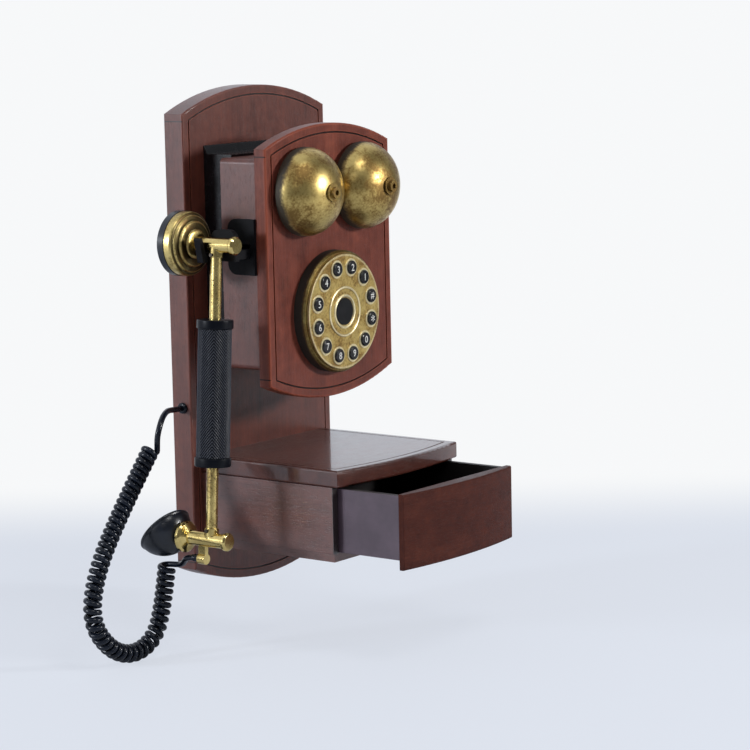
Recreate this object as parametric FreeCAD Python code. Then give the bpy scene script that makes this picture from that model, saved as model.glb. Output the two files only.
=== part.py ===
import FreeCAD, Part
import math
import os

# Wall telephone in a wooden case, millimetres.
# Origin: centre of the back board's rear face, on the wall. +Z up, front faces -Y, +X to the right.
V = FreeCAD.Vector
X_AXIS = V(1, 0, 0)
Y_AXIS = V(0, 1, 0)
Z_AXIS = V(0, 0, 1)

# Clearances
SEAT_GAP = 0.1            # around a piece let into a pocket of the same body
RUN_GAP = 0.4             # between pieces that slide or swing past each other
PIN_GAP = 0.05            # radial, pin in the lever's bore
BUTTON_GAP = 0.2          # radial, button in its hole

# Back board with arched ends
BOARD_W = 154.0
BOARD_SIDE = 312.0
BOARD_RISE = 16.7
BOARD_T = 16.0
EDGE_R = 1.2
GROOVE_IN = 5.8
GROOVE_W = 1.1
GROOVE_D = 0.9

# Access cover and wall hangers in the board's rear face
COVER_W = 90.0
COVER_H = 84.0
COVER_T = 3.0
COVER_LAP = 7.0
COVER_Z = 66.0
SCREW_R = 1.5
SCREW_HEAD_R = 3.0
SCREW_HEAD_T = 1.2
SCREW_L = 8.0
SCREW_SLOT_W = 0.8
HANGER_SPACING = 100.0
HANGER_Z = 136.0
HANGER_W = 22.0
HANGER_H = 44.0
HANGER_T = 1.6
HANGER_SCREW_OUT = 17.5
KEY_ENTRY_R = 4.5
KEY_SLOT_R = 2.2
KEY_RISE = 9.0
KEY_POCKET_D = 8.0
KEY_POCKET_GAP = 1.0

# Neck between board and upper box
NECK_W = 112.0
NECK_DEPTH = 24.3
NECK_WALL = 5.0
NECK_OVER = 1.6
NECK_UP = 9.0
RAIL_H = 5.7
RAIL_D = 3.3

# Upper box behind the front plate
BOX_DEPTH = 30.0
BOX_WALL = 6.0
BOX_IN = 0.5
BOX_TOP_IN = 6.4
BOX_BOTTOM_IN = 10.7
BOX_ROUND = 3.5
BOX_BACK_T = 4.0
WIRE_HOLE_R = 9.0

# Front plate with arched ends
FACE_W = 136.6
FACE_SIDE = 159.0
FACE_RISE = 14.2
FACE_T = 9.3
FACE_Z = 53.5

# Bells
BELL_X = 31.8
BELL_Z = 102.8
BELL_R = 30.0
BELL_H = 25.3
BELL_WALL = 1.4
BELL_LIFT = 2.7
BELL_RIM = 2.2
BOLT_R = 2.5
SPACER_R = 5.0
WASHER_R = 6.2
WASHER_T = 1.1
NUT_R = 3.9
NUT_T = 2.6
NUT_HOLE_R = 1.8
NUT_HOLE_D = 2.2
BACK_NUT_T = 4.0

# Dial with twelve push buttons
DIAL_Z = 18.8
DIAL_BASE_R = 41.9
DIAL_R = 39.3
DIAL_OUT = 11.0
DIAL_PLATE_T = 2.0
DIAL_WALL = 5.0
DIAL_FLOOR = 2.0
DIAL_LEDGE = 2.0
DIAL_BOSS_R = 8.0
DIAL_BOSS_BORE_R = 5.0
BUTTON_COUNT = 12
BUTTON_RING_R = 30.6
BUTTON_R = 4.65
BUTTON_UP = 1.3
BUTTON_TRAVEL = 1.5
BUTTON_FLANGE = 0.9
BUTTON_FLANGE_T = 1.2
BUTTON_RECESS_R = 3.2
BUTTON_RECESS_D = 2.2
COLLAR_W = 1.35
COLLAR_UP = 0.6
DOME_R = 2.4
DOME_H = 1.9
MAT_T = 1.2
KEY_BOARD_T = 1.6
CENTRE_R = 9.25
CENTRE_T = 1.2
CENTRE_SINK = 0.8
INNER_BEAD_R = 10.9
OUTER_BEAD_R = 16.6
BEAD_R = 0.9

# Switch hook on the box's left side
HANG_X = -100.0
HANG_OUT = 62.5
HANG_Z = 72.0
HOOK_PLATE_W = 23.0
HOOK_PLATE_LAP = 1.5
HOOK_PLATE_T = 2.5
HOOK_PLATE_UP = 14.6
HOOK_PLATE_R = 7.0
HOOK_PLATE_EDGE = 0.1
HOOK_ARM_W = 7.0
HOOK_ARM_H = 6.0
HOOK_PIVOT_X = -50.0
HOOK_HUB_R = 5.0
HOOK_TAIL = 12.0
HOOK_SWING = 8.0
HOOK_CHEEK_T = 2.0
HOOK_CHEEK_OVER = 4.0
HOOK_CHEEK_PAST = 1.0
HOOK_FLOOR_T = 2.0
HOOK_PIN_R = 2.0
HOOK_PIN_HEAD_R = 3.0
HOOK_PIN_HEAD_T = 1.0
TINE_W = 5.0
TIP_GAP = 1.2
TIP_T = 3.0
TIP_UP = 10.5
TIP_LEAN = 3.6
TIP_R = 1.2
FORK_ROOT = 3.0
FORK_GAP = 0.5
STOP_T = 3.5
STOP_OFF = 2.0
STOP_UP = 4.5
STOP_R = 6.0
SPRING_R = 2.3
SPRING_WIRE_R = 0.4
SPRING_TURNS = 5
SPRING_H = 8.0
SWITCH_W = 14.0
SWITCH_H = 9.0

# Circuit pieces inside the box
BOARD_STANDOFF = 5.0
BOARD_POST_R = 3.0
CIRCUIT_W = 100.0
CIRCUIT_H = 92.0
CIRCUIT_T = 1.6
CIRCUIT_INSET = 6.0
RINGER_R = 12.0
RINGER_T = 7.0
RINGER_X = 22.0
RINGER_UP = 20.0
RINGER_HOLE_R = 2.4
JACK_W = 14.0
JACK_H = 16.0
JACK_D = 12.0
JACK_PORT_W = 9.8
JACK_PORT_D = 7.0
JACK_PORT_H = 12.0
JACK_FLANGE = 2.0

# Shelf and drawer case
SHELF_W = 136.6
SHELF_OUT = 118.0
SHELF_T = 11.5
SHELF_BOW = 7.0
SHELF_EDGE_R = 1.5
SHELF_Z = -77.7
CASE_WALL = 5.0
CASE_OUT = 113.8
CASE_H = 44.8
BASE_T = 6.0
BASE_IN = 2.3
BASE_BACK = 1.0

# Drawer
DRAWER_OPEN = 49.8
DRAWER_DEPTH = 100.0
DRAWER_WALL = 4.0
DRAWER_FRONT_T = 4.0
DRAWER_BOW = 5.5
DRAWER_LIP = 0.1
DRAWER_SIDE_GAP = 0.6
DRAWER_IN = 0.5
DRAWER_BACK_DROP = 8.0
DRAWER_SIDE_DROP = 1.0
DRAWER_FLOOR_T = 3.0

# Handset, hung by its upper tee and leaning out at the foot
HANG_LEAN = 4.0
TEE_R = 5.0
TEE_LIP = 1.1
TEE_LIP_W = 3.0
TEE_SPAN = 195.8
UPPER_FRONT = 17.6
UPPER_REAR = 16.0
LOWER_FRONT = 15.4
LOWER_REAR = 18.0
STEM_R = 3.9
BOSS_R = 4.9
BOSS_H = 3.0
GRIP_R = 11.3
GRIP_TOP = 49.0
GRIP_L = 97.5
GRIP_COLLAR_W = 6.0
GRIP_COLLAR_UP = 0.9
EAR_R = 21.5
EAR_BACK = 34.0
EAR_CAP_T = 6.2
EAR_CAP_RIM = 0.3
EAR_CAP_WALL = 2.4
EAR_DISH = 2.0
EAR_BAND_W = 6.3
EAR_STEP_1_R = 19.2
EAR_STEP_2_R = 15.5
EAR_NECK_R = 10.0
EAR_WALL = 1.8
EAR_HOLE_R = 1.2
EAR_HOLE_RING_R = 5.6
HOLES_ROUND = 6
CAPSULE_T = 5.0
COLLAR_R = 10.6
COLLAR_L = 6.5
HORN_R = 19.3
HORN_DEPTH = 18.6
HORN_SIDE = 2.0
HORN_WALL = 2.0
HORN_LIP = 0.8
HORN_TILT = 41.0
HORN_Y = 41.5
HORN_Z = 2.6
HORN_BOSS_R = 8.5
MIC_R = 8.0
MIC_T = 2.5
MIC_HOLE_RING_R = 4.0
SET_SCREW_R = 1.3
SET_SCREW_OUT = 1.2
EYE_R = 3.6
EYE_DROP = 13.5
EYE_WEB_W = 3.0
EYE_L = 6.0
EYE_Y = 4.0
EYE_FLOOR = 2.0

# Curly cord
CORD_R = 1.9
CURL_R = 4.4
CURLS = 50.667
CURL_START = -60.0        # degrees, where the first curl is joined
CORD_Y = -9.0
SLEEVE_R = 2.7
SLEEVE_L = 6.5
GROMMET_R = 3.8
GROMMET_BARREL_IN = 1.2
GROMMET_T = 2.2
GROMMET_L = 6.0
GROMMET_Z = -43.9
LEAD_RUN = 5.0            # straight onto the first curl
TAIL_RUN = 4.5            # straight off the last curl
LEAD_ROUTE = [
    (-87.5, -9.0, -43.9),
    (-97.0, -12.4, -42.4),
    (-106.5, -16.4, -44.9),
    (-112.7, -18.9, -50.4),
    (-114.8, -18.4, -57.3),
]
CURL_ROUTE = [
    (-110.9, -9.0, -66.9),
    (-149.0, -10.4, -109.0),
    (-174.0, -12.4, -143.0),
    (-181.0, -13.9, -172.0),
    (-165.0, -15.3, -194.0),
    (-143.0, -16.4, -202.0),
    (-122.5, -17.6, -194.0),
    (-114.8, -19.3, -170.0),
    (-112.8, -21.5, -145.0),
]
TAIL_ROUTE = [
    (-114.1, -41.2, -137.6),
    (-112.3, -37.5, -139.6),
    (-109.9, -34.0, -142.9),
]

# Levels worked out from the sizes above; OUT values are distances from the wall
FACE_BACK_OUT = BOARD_T + NECK_DEPTH + BOX_DEPTH
FACE_OUT = FACE_BACK_OUT + FACE_T
NECK_OUT = BOARD_T + NECK_DEPTH
BOX_TOP = FACE_Z + FACE_SIDE / 2 - BOX_TOP_IN
BOX_BOTTOM = FACE_Z - FACE_SIDE / 2 + BOX_BOTTOM_IN
BOX_HALF_W = FACE_W / 2 - BOX_IN
CASE_TOP = SHELF_Z - SHELF_T
CASE_BOTTOM = CASE_TOP - CASE_H
CASE_HALF_W = SHELF_W / 2
DRAWER_HALF_W = CASE_HALF_W - CASE_WALL - DRAWER_SIDE_GAP
DRAWER_FRONT_OUT = BOARD_T + SHELF_OUT + DRAWER_OPEN
HOOK_TOP = HANG_Z - TEE_R - RUN_GAP
HOOK_BOTTOM = HOOK_TOP - HOOK_ARM_H
HOOK_AXIS_Z = (HOOK_TOP + HOOK_BOTTOM) / 2
HOOK_FLOOR_Z = HOOK_BOTTOM - SPRING_H
CIRCUIT_BACK_OUT = NECK_OUT + BOX_BACK_T + BOARD_STANDOFF
CIRCUIT_FRONT_OUT = CIRCUIT_BACK_OUT + CIRCUIT_T


def block(x0, x1, out0, out1, z0, z1):
    """Box between two X values, two distances from the wall and two heights."""
    return Part.makeBox(x1 - x0, out1 - out0, z1 - z0, V(x0, -out1, z0))


def rod(start, direction, radius, length):
    """Cylinder from a point along a direction."""
    return Part.makeCylinder(radius, length, start, direction)


def edges_where(shape, test):
    return [edge for edge in shape.Edges if test(edge)]


def turned(profile, start, direction):
    """Solid of revolution: profile is (radius, height) points along the direction from the start."""
    points = [V(radius, 0, height) for radius, height in profile]
    wire = Part.makePolygon(points + [points[0]])
    solid = Part.Face(wire).revolve(V(0, 0, 0), Z_AXIS, 360)
    solid.Placement = FreeCAD.Placement(start, FreeCAD.Rotation(Z_AXIS, direction))
    return solid


def arch_face(width, side, rise, inset, z_mid):
    """Flat face in the XZ plane with straight sides and equal arches at the top and bottom."""
    arch_r = ((width / 2) ** 2 + rise ** 2) / (2 * rise)
    arch_z = side / 2 + rise - arch_r
    half = width / 2 - inset
    radius = arch_r - inset
    corner = arch_z + math.sqrt(radius ** 2 - half ** 2)
    apex = arch_z + radius
    top = Part.Arc(V(-half, 0, z_mid + corner), V(0, 0, z_mid + apex), V(half, 0, z_mid + corner))
    bottom = Part.Arc(V(half, 0, z_mid - corner), V(0, 0, z_mid - apex), V(-half, 0, z_mid - corner))
    right = Part.LineSegment(V(half, 0, z_mid + corner), V(half, 0, z_mid - corner))
    left = Part.LineSegment(V(-half, 0, z_mid - corner), V(-half, 0, z_mid + corner))
    edges = [curve.toShape() for curve in (top, right, bottom, left)]
    return Part.Face(Part.Wire(edges))


def arched_panel(width, side, rise, thick, out0, z_mid):
    """Arched panel with a rounded front edge and a groove that follows its outline."""
    outline = arch_face(width, side, rise, 0, z_mid)
    outline.translate(V(0, -out0, 0))
    panel = outline.extrude(V(0, -thick, 0))
    front = -(out0 + thick)
    panel = panel.makeFillet(EDGE_R, edges_where(panel, lambda e: abs(e.BoundBox.YMin - front) < 1e-6
                                                 and e.BoundBox.YLength < 1e-6))
    outer = arch_face(width, side, rise, GROOVE_IN, z_mid)
    inner = arch_face(width, side, rise, GROOVE_IN + GROOVE_W, z_mid)
    groove = outer.cut(inner)
    groove.translate(V(0, front + GROOVE_D, 0))
    return panel.cut(groove.extrude(V(0, -GROOVE_D, 0)))


def bowed_panel(half_w, out0, out1, bow, z0, z1):
    """Panel whose front edge bows out between its corners, seen from above."""
    front = Part.Arc(V(-half_w, -out1, z0), V(0, -out1 - bow, z0), V(half_w, -out1, z0)).toShape()
    corners = [V(half_w, -out1, z0), V(half_w, -out0, z0), V(-half_w, -out0, z0), V(-half_w, -out1, z0)]
    back = Part.makePolygon(corners)
    return Part.Face(Part.Wire([front] + back.Edges)).extrude(V(0, 0, z1 - z0))


# Back board, access cover and wall hangers
def cover_corners(inset):
    half_w = COVER_W / 2 - inset
    half_h = COVER_H / 2 - inset
    return [(sx * half_w, COVER_Z + sz * half_h) for sx in (-1, 1) for sz in (-1, 1)]


def hanger_centres():
    return [-HANGER_SPACING / 2, HANGER_SPACING / 2]


def hanger_screw_points():
    return [(x, HANGER_Z + s * HANGER_SCREW_OUT) for x in hanger_centres() for s in (-1, 1)]


def back_board():
    board = arched_panel(BOARD_W, BOARD_SIDE, BOARD_RISE, BOARD_T, 0, 0)
    half_w = COVER_W / 2
    half_h = COVER_H / 2
    cuts = [block(-half_w - SEAT_GAP, half_w + SEAT_GAP, 0, COVER_T,
                  COVER_Z - half_h - SEAT_GAP, COVER_Z + half_h + SEAT_GAP)]
    cuts.append(block(-half_w + COVER_LAP, half_w - COVER_LAP, 0, BOARD_T,
                      COVER_Z - half_h + COVER_LAP, COVER_Z + half_h - COVER_LAP))
    for x, z in cover_corners(COVER_LAP / 2):
        cuts.append(rod(V(x, 0, z), -Y_AXIS, SCREW_R, COVER_T + SCREW_L))
    for x in hanger_centres():
        cuts.append(block(x - HANGER_W / 2 - SEAT_GAP, x + HANGER_W / 2 + SEAT_GAP, 0, HANGER_T,
                          HANGER_Z - HANGER_H / 2 - SEAT_GAP, HANGER_Z + HANGER_H / 2 + SEAT_GAP))
        pocket = KEY_ENTRY_R + KEY_POCKET_GAP
        cuts.append(block(x - pocket, x + pocket, 0, KEY_POCKET_D,
                          HANGER_Z - pocket, HANGER_Z + KEY_RISE + pocket))
    for x, z in hanger_screw_points():
        cuts.append(rod(V(x, 0, z), -Y_AXIS, SCREW_R, HANGER_T + SCREW_L))
    cuts.append(rod(V(-BOARD_W / 2, CORD_Y, GROMMET_Z), X_AXIS, GROMMET_R - GROMMET_BARREL_IN, GROMMET_L))
    return board.cut(cuts)


def rear_cover():
    panel = block(-COVER_W / 2, COVER_W / 2, 0, COVER_T, COVER_Z - COVER_H / 2, COVER_Z + COVER_H / 2)
    panel = panel.makeFillet(COVER_LAP / 2, edges_where(panel, lambda e: e.BoundBox.YLength > COVER_T / 2))
    holes = []
    for x, z in cover_corners(COVER_LAP / 2):
        holes.append(rod(V(x, 0, z), -Y_AXIS, SCREW_R, COVER_T))
        holes.append(rod(V(x, 0, z), -Y_AXIS, SCREW_HEAD_R, SCREW_HEAD_T))
    return panel.cut(holes)


def rear_screw(x, z):
    """Flush screw, its head level with the wall face and slotted."""
    screw = rod(V(x, 0, z), -Y_AXIS, SCREW_HEAD_R, SCREW_HEAD_T)
    screw = screw.fuse(rod(V(x, 0, z), -Y_AXIS, SCREW_R, SCREW_L))
    slot = block(x - SCREW_HEAD_R, x + SCREW_HEAD_R, 0, SCREW_HEAD_T / 2,
                 z - SCREW_SLOT_W / 2, z + SCREW_SLOT_W / 2)
    return screw.cut(slot)


def rear_screws():
    points = cover_corners(COVER_LAP / 2) + hanger_screw_points()
    return Part.makeCompound([rear_screw(x, z) for x, z in points])


def hanger_plate(x):
    half_w = HANGER_W / 2
    half_h = HANGER_H / 2
    plate = block(x - half_w, x + half_w, 0, HANGER_T, HANGER_Z - half_h, HANGER_Z + half_h)
    cuts = [rod(V(x, 0, HANGER_Z), -Y_AXIS, KEY_ENTRY_R, HANGER_T)]
    cuts.append(block(x - KEY_SLOT_R, x + KEY_SLOT_R, 0, HANGER_T, HANGER_Z, HANGER_Z + KEY_RISE))
    cuts.append(rod(V(x, 0, HANGER_Z + KEY_RISE), -Y_AXIS, KEY_SLOT_R, HANGER_T))
    for screw_x, screw_z in hanger_screw_points():
        cuts.append(rod(V(screw_x, 0, screw_z), -Y_AXIS, SCREW_R, HANGER_T))
        cuts.append(rod(V(screw_x, 0, screw_z), -Y_AXIS, SCREW_HEAD_R, SCREW_HEAD_T))
    return plate.cut(cuts)


def hanger_plates():
    return Part.makeCompound([hanger_plate(x) for x in hanger_centres()])


# Neck and upper box
NECK_TOP = BOX_TOP + NECK_OVER
NECK_BOTTOM = BOX_BOTTOM + NECK_UP


def jack_place():
    """Left, right, near and far limits of the line socket's body in the neck."""
    mid = (BOARD_T + NECK_OUT) / 2
    return -JACK_W / 2, JACK_W / 2, mid - JACK_D / 2, mid + JACK_D / 2


def neck():
    half = NECK_W / 2
    body = block(-half, half, BOARD_T, NECK_OUT, NECK_BOTTOM, NECK_TOP)
    body = body.cut(block(-half + NECK_WALL, half - NECK_WALL, BOARD_T, NECK_OUT,
                          NECK_BOTTOM + NECK_WALL, NECK_TOP - NECK_WALL))
    foot = V(-half, -BOARD_T, NECK_TOP)
    rail = Part.makePolygon([foot, foot + V(0, -RAIL_D, 0), foot + V(0, 0, RAIL_H), foot])
    body = body.fuse(Part.Face(rail).extrude(V(NECK_W, 0, 0)))
    x0, x1, out0, out1 = jack_place()
    return body.cut(block(x0 - SEAT_GAP, x1 + SEAT_GAP, out0 - SEAT_GAP, out1 + SEAT_GAP,
                          NECK_BOTTOM, NECK_BOTTOM + NECK_WALL))


def line_jack():
    """Modular line socket let into the neck's floor, its port facing down."""
    x0, x1, out0, out1 = jack_place()
    body = block(x0, x1, out0, out1, NECK_BOTTOM, NECK_BOTTOM + JACK_H)
    seat = NECK_BOTTOM + NECK_WALL
    flange = block(x0 - JACK_FLANGE, x1 + JACK_FLANGE, out0 - JACK_FLANGE, out1 + JACK_FLANGE,
                   seat, seat + JACK_FLANGE)
    mid = (out0 + out1) / 2
    port = block(-JACK_PORT_W / 2, JACK_PORT_W / 2, mid - JACK_PORT_D / 2, mid + JACK_PORT_D / 2,
                 NECK_BOTTOM, NECK_BOTTOM + JACK_PORT_H)
    return body.fuse(flange).cut(port)


def hook_opening(gap):
    """Space in the box wall that the hook's bracket passes through."""
    half = HOOK_ARM_W / 2 + RUN_GAP + HOOK_CHEEK_T + gap
    low = HOOK_FLOOR_Z - HOOK_FLOOR_T - gap
    return HANG_OUT - half, HANG_OUT + half, low, HOOK_TOP + HOOK_CHEEK_OVER + gap


def box_frame():
    frame = block(-BOX_HALF_W, BOX_HALF_W, NECK_OUT, FACE_BACK_OUT, BOX_BOTTOM, BOX_TOP)
    frame = frame.makeFillet(BOX_ROUND, edges_where(frame, lambda e: e.BoundBox.YLength > BOX_DEPTH / 2))
    inner = BOX_HALF_W - BOX_WALL
    low = BOX_BOTTOM + BOX_WALL
    high = BOX_TOP - BOX_WALL
    frame = frame.cut(block(-inner, inner, NECK_OUT, FACE_BACK_OUT, low, high))
    out0, out1, z0, z1 = hook_opening(SEAT_GAP)
    return frame.cut(block(-BOX_HALF_W, -inner, out0, out1, z0, z1))


def circuit_place():
    """Half width, bottom and top of the circuit board, centred in the box."""
    mid = (BOX_TOP + BOX_BOTTOM) / 2
    return CIRCUIT_W / 2, mid - CIRCUIT_H / 2, mid + CIRCUIT_H / 2


def box_back():
    """Rear panel of the box with four posts for the circuit board and a hole for the wires."""
    inner = BOX_HALF_W - BOX_WALL
    panel = block(-inner, inner, NECK_OUT, NECK_OUT + BOX_BACK_T, BOX_BOTTOM + BOX_WALL, BOX_TOP - BOX_WALL)
    half, low, high = circuit_place()
    for x in (-half + CIRCUIT_INSET, half - CIRCUIT_INSET):
        for z in (low + CIRCUIT_INSET, high - CIRCUIT_INSET):
            panel = panel.fuse(rod(V(x, -NECK_OUT, z), -Y_AXIS, BOARD_POST_R, BOX_BACK_T + BOARD_STANDOFF))
    return panel.cut(rod(V(0, -NECK_OUT, (low + high) / 2), -Y_AXIS, WIRE_HOLE_R, BOX_BACK_T))


def main_board():
    half, low, high = circuit_place()
    return block(-half, half, CIRCUIT_BACK_OUT, CIRCUIT_FRONT_OUT, low, high)


def ringer():
    """Round sounder on the circuit board, with a sound hole in its face."""
    high = circuit_place()[2]
    start = V(RINGER_X, -CIRCUIT_FRONT_OUT, high - RINGER_UP)
    body = rod(start, -Y_AXIS, RINGER_R, RINGER_T)
    return body.cut(rod(start + V(0, -RINGER_T, 0), Y_AXIS, RINGER_HOLE_R, RINGER_T / 2))


# Front plate, bells and dial
def bell_places():
    return [-BELL_X, BELL_X]


def front_plate():
    panel = arched_panel(FACE_W, FACE_SIDE, FACE_RISE, FACE_T, FACE_BACK_OUT, FACE_Z)
    holes = [rod(V(x, -FACE_BACK_OUT, BELL_Z), -Y_AXIS, BOLT_R + SEAT_GAP, FACE_T) for x in bell_places()]
    holes.append(rod(V(0, -FACE_BACK_OUT, DIAL_Z), -Y_AXIS, DIAL_BOSS_R + SEAT_GAP, FACE_T))
    return panel.cut(holes)


def dome(radius, height):
    """Solid half ellipsoid on its base circle, pointing along +Z."""
    ball = Part.makeSphere(radius, V(0, 0, 0), Z_AXIS, 0, 90, 360)
    stretch = FreeCAD.Matrix()
    stretch.scale(1, 1, height / radius)
    return ball.transformGeometry(stretch)


def bell(x):
    """Domed gong, open towards the plate, with a plain band at its rim."""
    gong = Part.makeCylinder(BELL_R, BELL_RIM)
    crown = dome(BELL_R, BELL_H - BELL_RIM)
    crown.translate(V(0, 0, BELL_RIM))
    hollow = Part.makeCylinder(BELL_R - BELL_WALL, BELL_RIM)
    inside = dome(BELL_R - BELL_WALL, BELL_H - BELL_RIM - BELL_WALL)
    inside.translate(V(0, 0, BELL_RIM))
    bore = Part.makeCylinder(BOLT_R + SEAT_GAP, BELL_H)
    gong = gong.fuse(crown).cut([hollow, inside, bore]).removeSplitter()
    rim = V(x, -FACE_OUT - BELL_LIFT, BELL_Z)
    gong.Placement = FreeCAD.Placement(rim, FreeCAD.Rotation(Z_AXIS, -Y_AXIS))
    return gong


def bell_bolt(x):
    """Bolt that carries a bell: rear nut, shank, spacer sleeve under the crown, washer and round nut."""
    inner_r = BELL_R - BELL_WALL
    inner_h = BELL_H - BELL_RIM - BELL_WALL
    crown_in = BELL_LIFT + BELL_RIM + inner_h * math.sqrt(1 - (SPACER_R / inner_r) ** 2)
    crown = BELL_LIFT + BELL_H
    tip = crown + WASHER_T + NUT_T
    profile = [
        (0, -FACE_T - BACK_NUT_T),
        (SPACER_R, -FACE_T - BACK_NUT_T),
        (SPACER_R, -FACE_T),
        (BOLT_R, -FACE_T),
        (BOLT_R, 0),
        (SPACER_R, 0),
        (SPACER_R, crown_in),
        (BOLT_R, crown_in),
        (BOLT_R, crown),
        (WASHER_R, crown),
        (WASHER_R, crown + WASHER_T),
        (NUT_R, crown + WASHER_T),
        (NUT_R, tip),
        (NUT_HOLE_R, tip),
        (NUT_HOLE_R, tip - NUT_HOLE_D),
        (0, tip - NUT_HOLE_D),
    ]
    return turned(profile, V(x, -FACE_OUT, BELL_Z), -Y_AXIS)


def bell_bolts():
    return Part.makeCompound([bell_bolt(x) for x in bell_places()])


DIAL_START = V(0, -FACE_OUT, DIAL_Z)
DIAL_BACK = DIAL_OUT - DIAL_PLATE_T
FLANGE_BACK = DIAL_BACK - SEAT_GAP - BUTTON_FLANGE_T
MAT_TOP = FLANGE_BACK - BUTTON_TRAVEL - RUN_GAP
MAT_BACK = MAT_TOP - MAT_T
KEY_BOARD_BACK = MAT_BACK - KEY_BOARD_T
DIAL_CAVITY_R = DIAL_BASE_R - DIAL_WALL


def button_places():
    """Button centres, anticlockwise from the digit 1 at the upper right."""
    step = 2 * math.pi / BUTTON_COUNT
    angles = [math.pi / 2 - step * 1.5 + step * k for k in range(BUTTON_COUNT)]
    return [V(BUTTON_RING_R * math.cos(a), -FACE_OUT, DIAL_Z + BUTTON_RING_R * math.sin(a)) for a in angles]


def dial_base():
    """Round housing of the dial with a ledge for the key board and a boss through the front plate."""
    ledge_r = DIAL_CAVITY_R - DIAL_LEDGE
    profile = [
        (DIAL_BOSS_BORE_R, -FACE_T),
        (DIAL_BOSS_R, -FACE_T),
        (DIAL_BOSS_R, 0),
        (DIAL_BASE_R, 0),
        (DIAL_BASE_R, DIAL_BACK - EDGE_R),
        (DIAL_BASE_R - EDGE_R, DIAL_BACK),
        (DIAL_CAVITY_R, DIAL_BACK),
        (DIAL_CAVITY_R, KEY_BOARD_BACK),
        (ledge_r, KEY_BOARD_BACK),
        (ledge_r, DIAL_FLOOR),
        (DIAL_BOSS_BORE_R, DIAL_FLOOR),
    ]
    return turned(profile, DIAL_START, -Y_AXIS)


def dial_ring():
    """Face plate of the dial with a raised collar round each button and two beads round the centre."""
    face = rod(DIAL_START + V(0, -DIAL_BACK, 0), -Y_AXIS, DIAL_R, DIAL_PLATE_T)
    top = DIAL_START + V(0, -DIAL_OUT, 0)
    for radius in (INNER_BEAD_R, OUTER_BEAD_R):
        face = face.fuse(Part.makeTorus(radius, BEAD_R, top, Y_AXIS))
    holes = [rod(top + V(0, CENTRE_SINK, 0), -Y_AXIS, CENTRE_R + SEAT_GAP, 2 * CENTRE_SINK)]
    for place in button_places():
        collar_r = BUTTON_R + BUTTON_GAP + COLLAR_W
        face = face.fuse(rod(place + V(0, -DIAL_OUT, 0), -Y_AXIS, collar_r, COLLAR_UP))
        holes.append(rod(place, -Y_AXIS, BUTTON_R + BUTTON_GAP, DIAL_OUT + COLLAR_UP))
    return face.cut(holes)


def dial_centre():
    """Plain disc in the middle of the dial."""
    return rod(DIAL_START + V(0, -DIAL_OUT + CENTRE_SINK, 0), -Y_AXIS, CENTRE_R, CENTRE_T)


def keypad_mat():
    """Rubber mat under the buttons, one dome for each."""
    mat = rod(DIAL_START + V(0, -MAT_BACK, 0), -Y_AXIS, DIAL_CAVITY_R - SEAT_GAP, MAT_T)
    for place in button_places():
        mat = mat.fuse(rod(place + V(0, -MAT_TOP, 0), -Y_AXIS, DOME_R, DOME_H))
    return mat


def keypad_board():
    return rod(DIAL_START + V(0, -KEY_BOARD_BACK, 0), -Y_AXIS, DIAL_CAVITY_R - SEAT_GAP, KEY_BOARD_T)


def button(place):
    """Round push button with a flange behind the face plate and a recess over its dome."""
    top = DIAL_OUT + COLLAR_UP + BUTTON_UP
    edge = BUTTON_UP / 3
    profile = [
        (0, FLANGE_BACK + BUTTON_RECESS_D),
        (BUTTON_RECESS_R, FLANGE_BACK + BUTTON_RECESS_D),
        (BUTTON_RECESS_R, FLANGE_BACK),
        (BUTTON_R + BUTTON_FLANGE, FLANGE_BACK),
        (BUTTON_R + BUTTON_FLANGE, FLANGE_BACK + BUTTON_FLANGE_T),
        (BUTTON_R, FLANGE_BACK + BUTTON_FLANGE_T),
        (BUTTON_R, top - edge),
        (BUTTON_R - edge, top),
        (0, top),
    ]
    return turned(profile, place, -Y_AXIS)


# Switch hook
HOOK_FACE_X = -BOX_HALF_W - HOOK_PLATE_T


def hook_plate():
    """Cover plate on the box's side with a bracket of two cheeks and a floor inside the box."""
    plate_top = HANG_Z + HOOK_PLATE_UP
    plate = block(HOOK_FACE_X, -BOX_HALF_W, FACE_BACK_OUT - HOOK_PLATE_W, FACE_BACK_OUT - HOOK_PLATE_EDGE,
                  HOOK_FLOOR_Z - HOOK_FLOOR_T - HOOK_PLATE_LAP, plate_top)
    rear = -FACE_BACK_OUT + HOOK_PLATE_W
    plate = plate.makeFillet(HOOK_PLATE_R, edges_where(plate, lambda e: e.BoundBox.XLength > HOOK_PLATE_T / 2
                                                       and abs(e.BoundBox.YMax - rear) < 1e-6))
    out0, out1, z0, z1 = hook_opening(0)
    bracket_end = HOOK_PIVOT_X + HOOK_HUB_R + HOOK_CHEEK_PAST
    bracket = block(-BOX_HALF_W, bracket_end, out0, out1, z0, z1)
    room = HOOK_ARM_W / 2 + RUN_GAP
    near = HANG_OUT - room
    far = HANG_OUT + room
    bracket = bracket.cut(block(-BOX_HALF_W, bracket_end, near, far, HOOK_FLOOR_Z, z1))
    rise = (HOOK_PIVOT_X - HOOK_FACE_X) * math.tan(math.radians(HOOK_SWING))
    slot = block(HOOK_FACE_X, -BOX_HALF_W, near, far, HOOK_BOTTOM - RUN_GAP, HOOK_TOP + rise + RUN_GAP)
    pin_hole = rod(V(HOOK_PIVOT_X, -out1, HOOK_AXIS_Z), Y_AXIS, HOOK_PIN_R, out1 - out0)
    return plate.cut(slot).fuse(bracket).cut(pin_hole)


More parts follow.
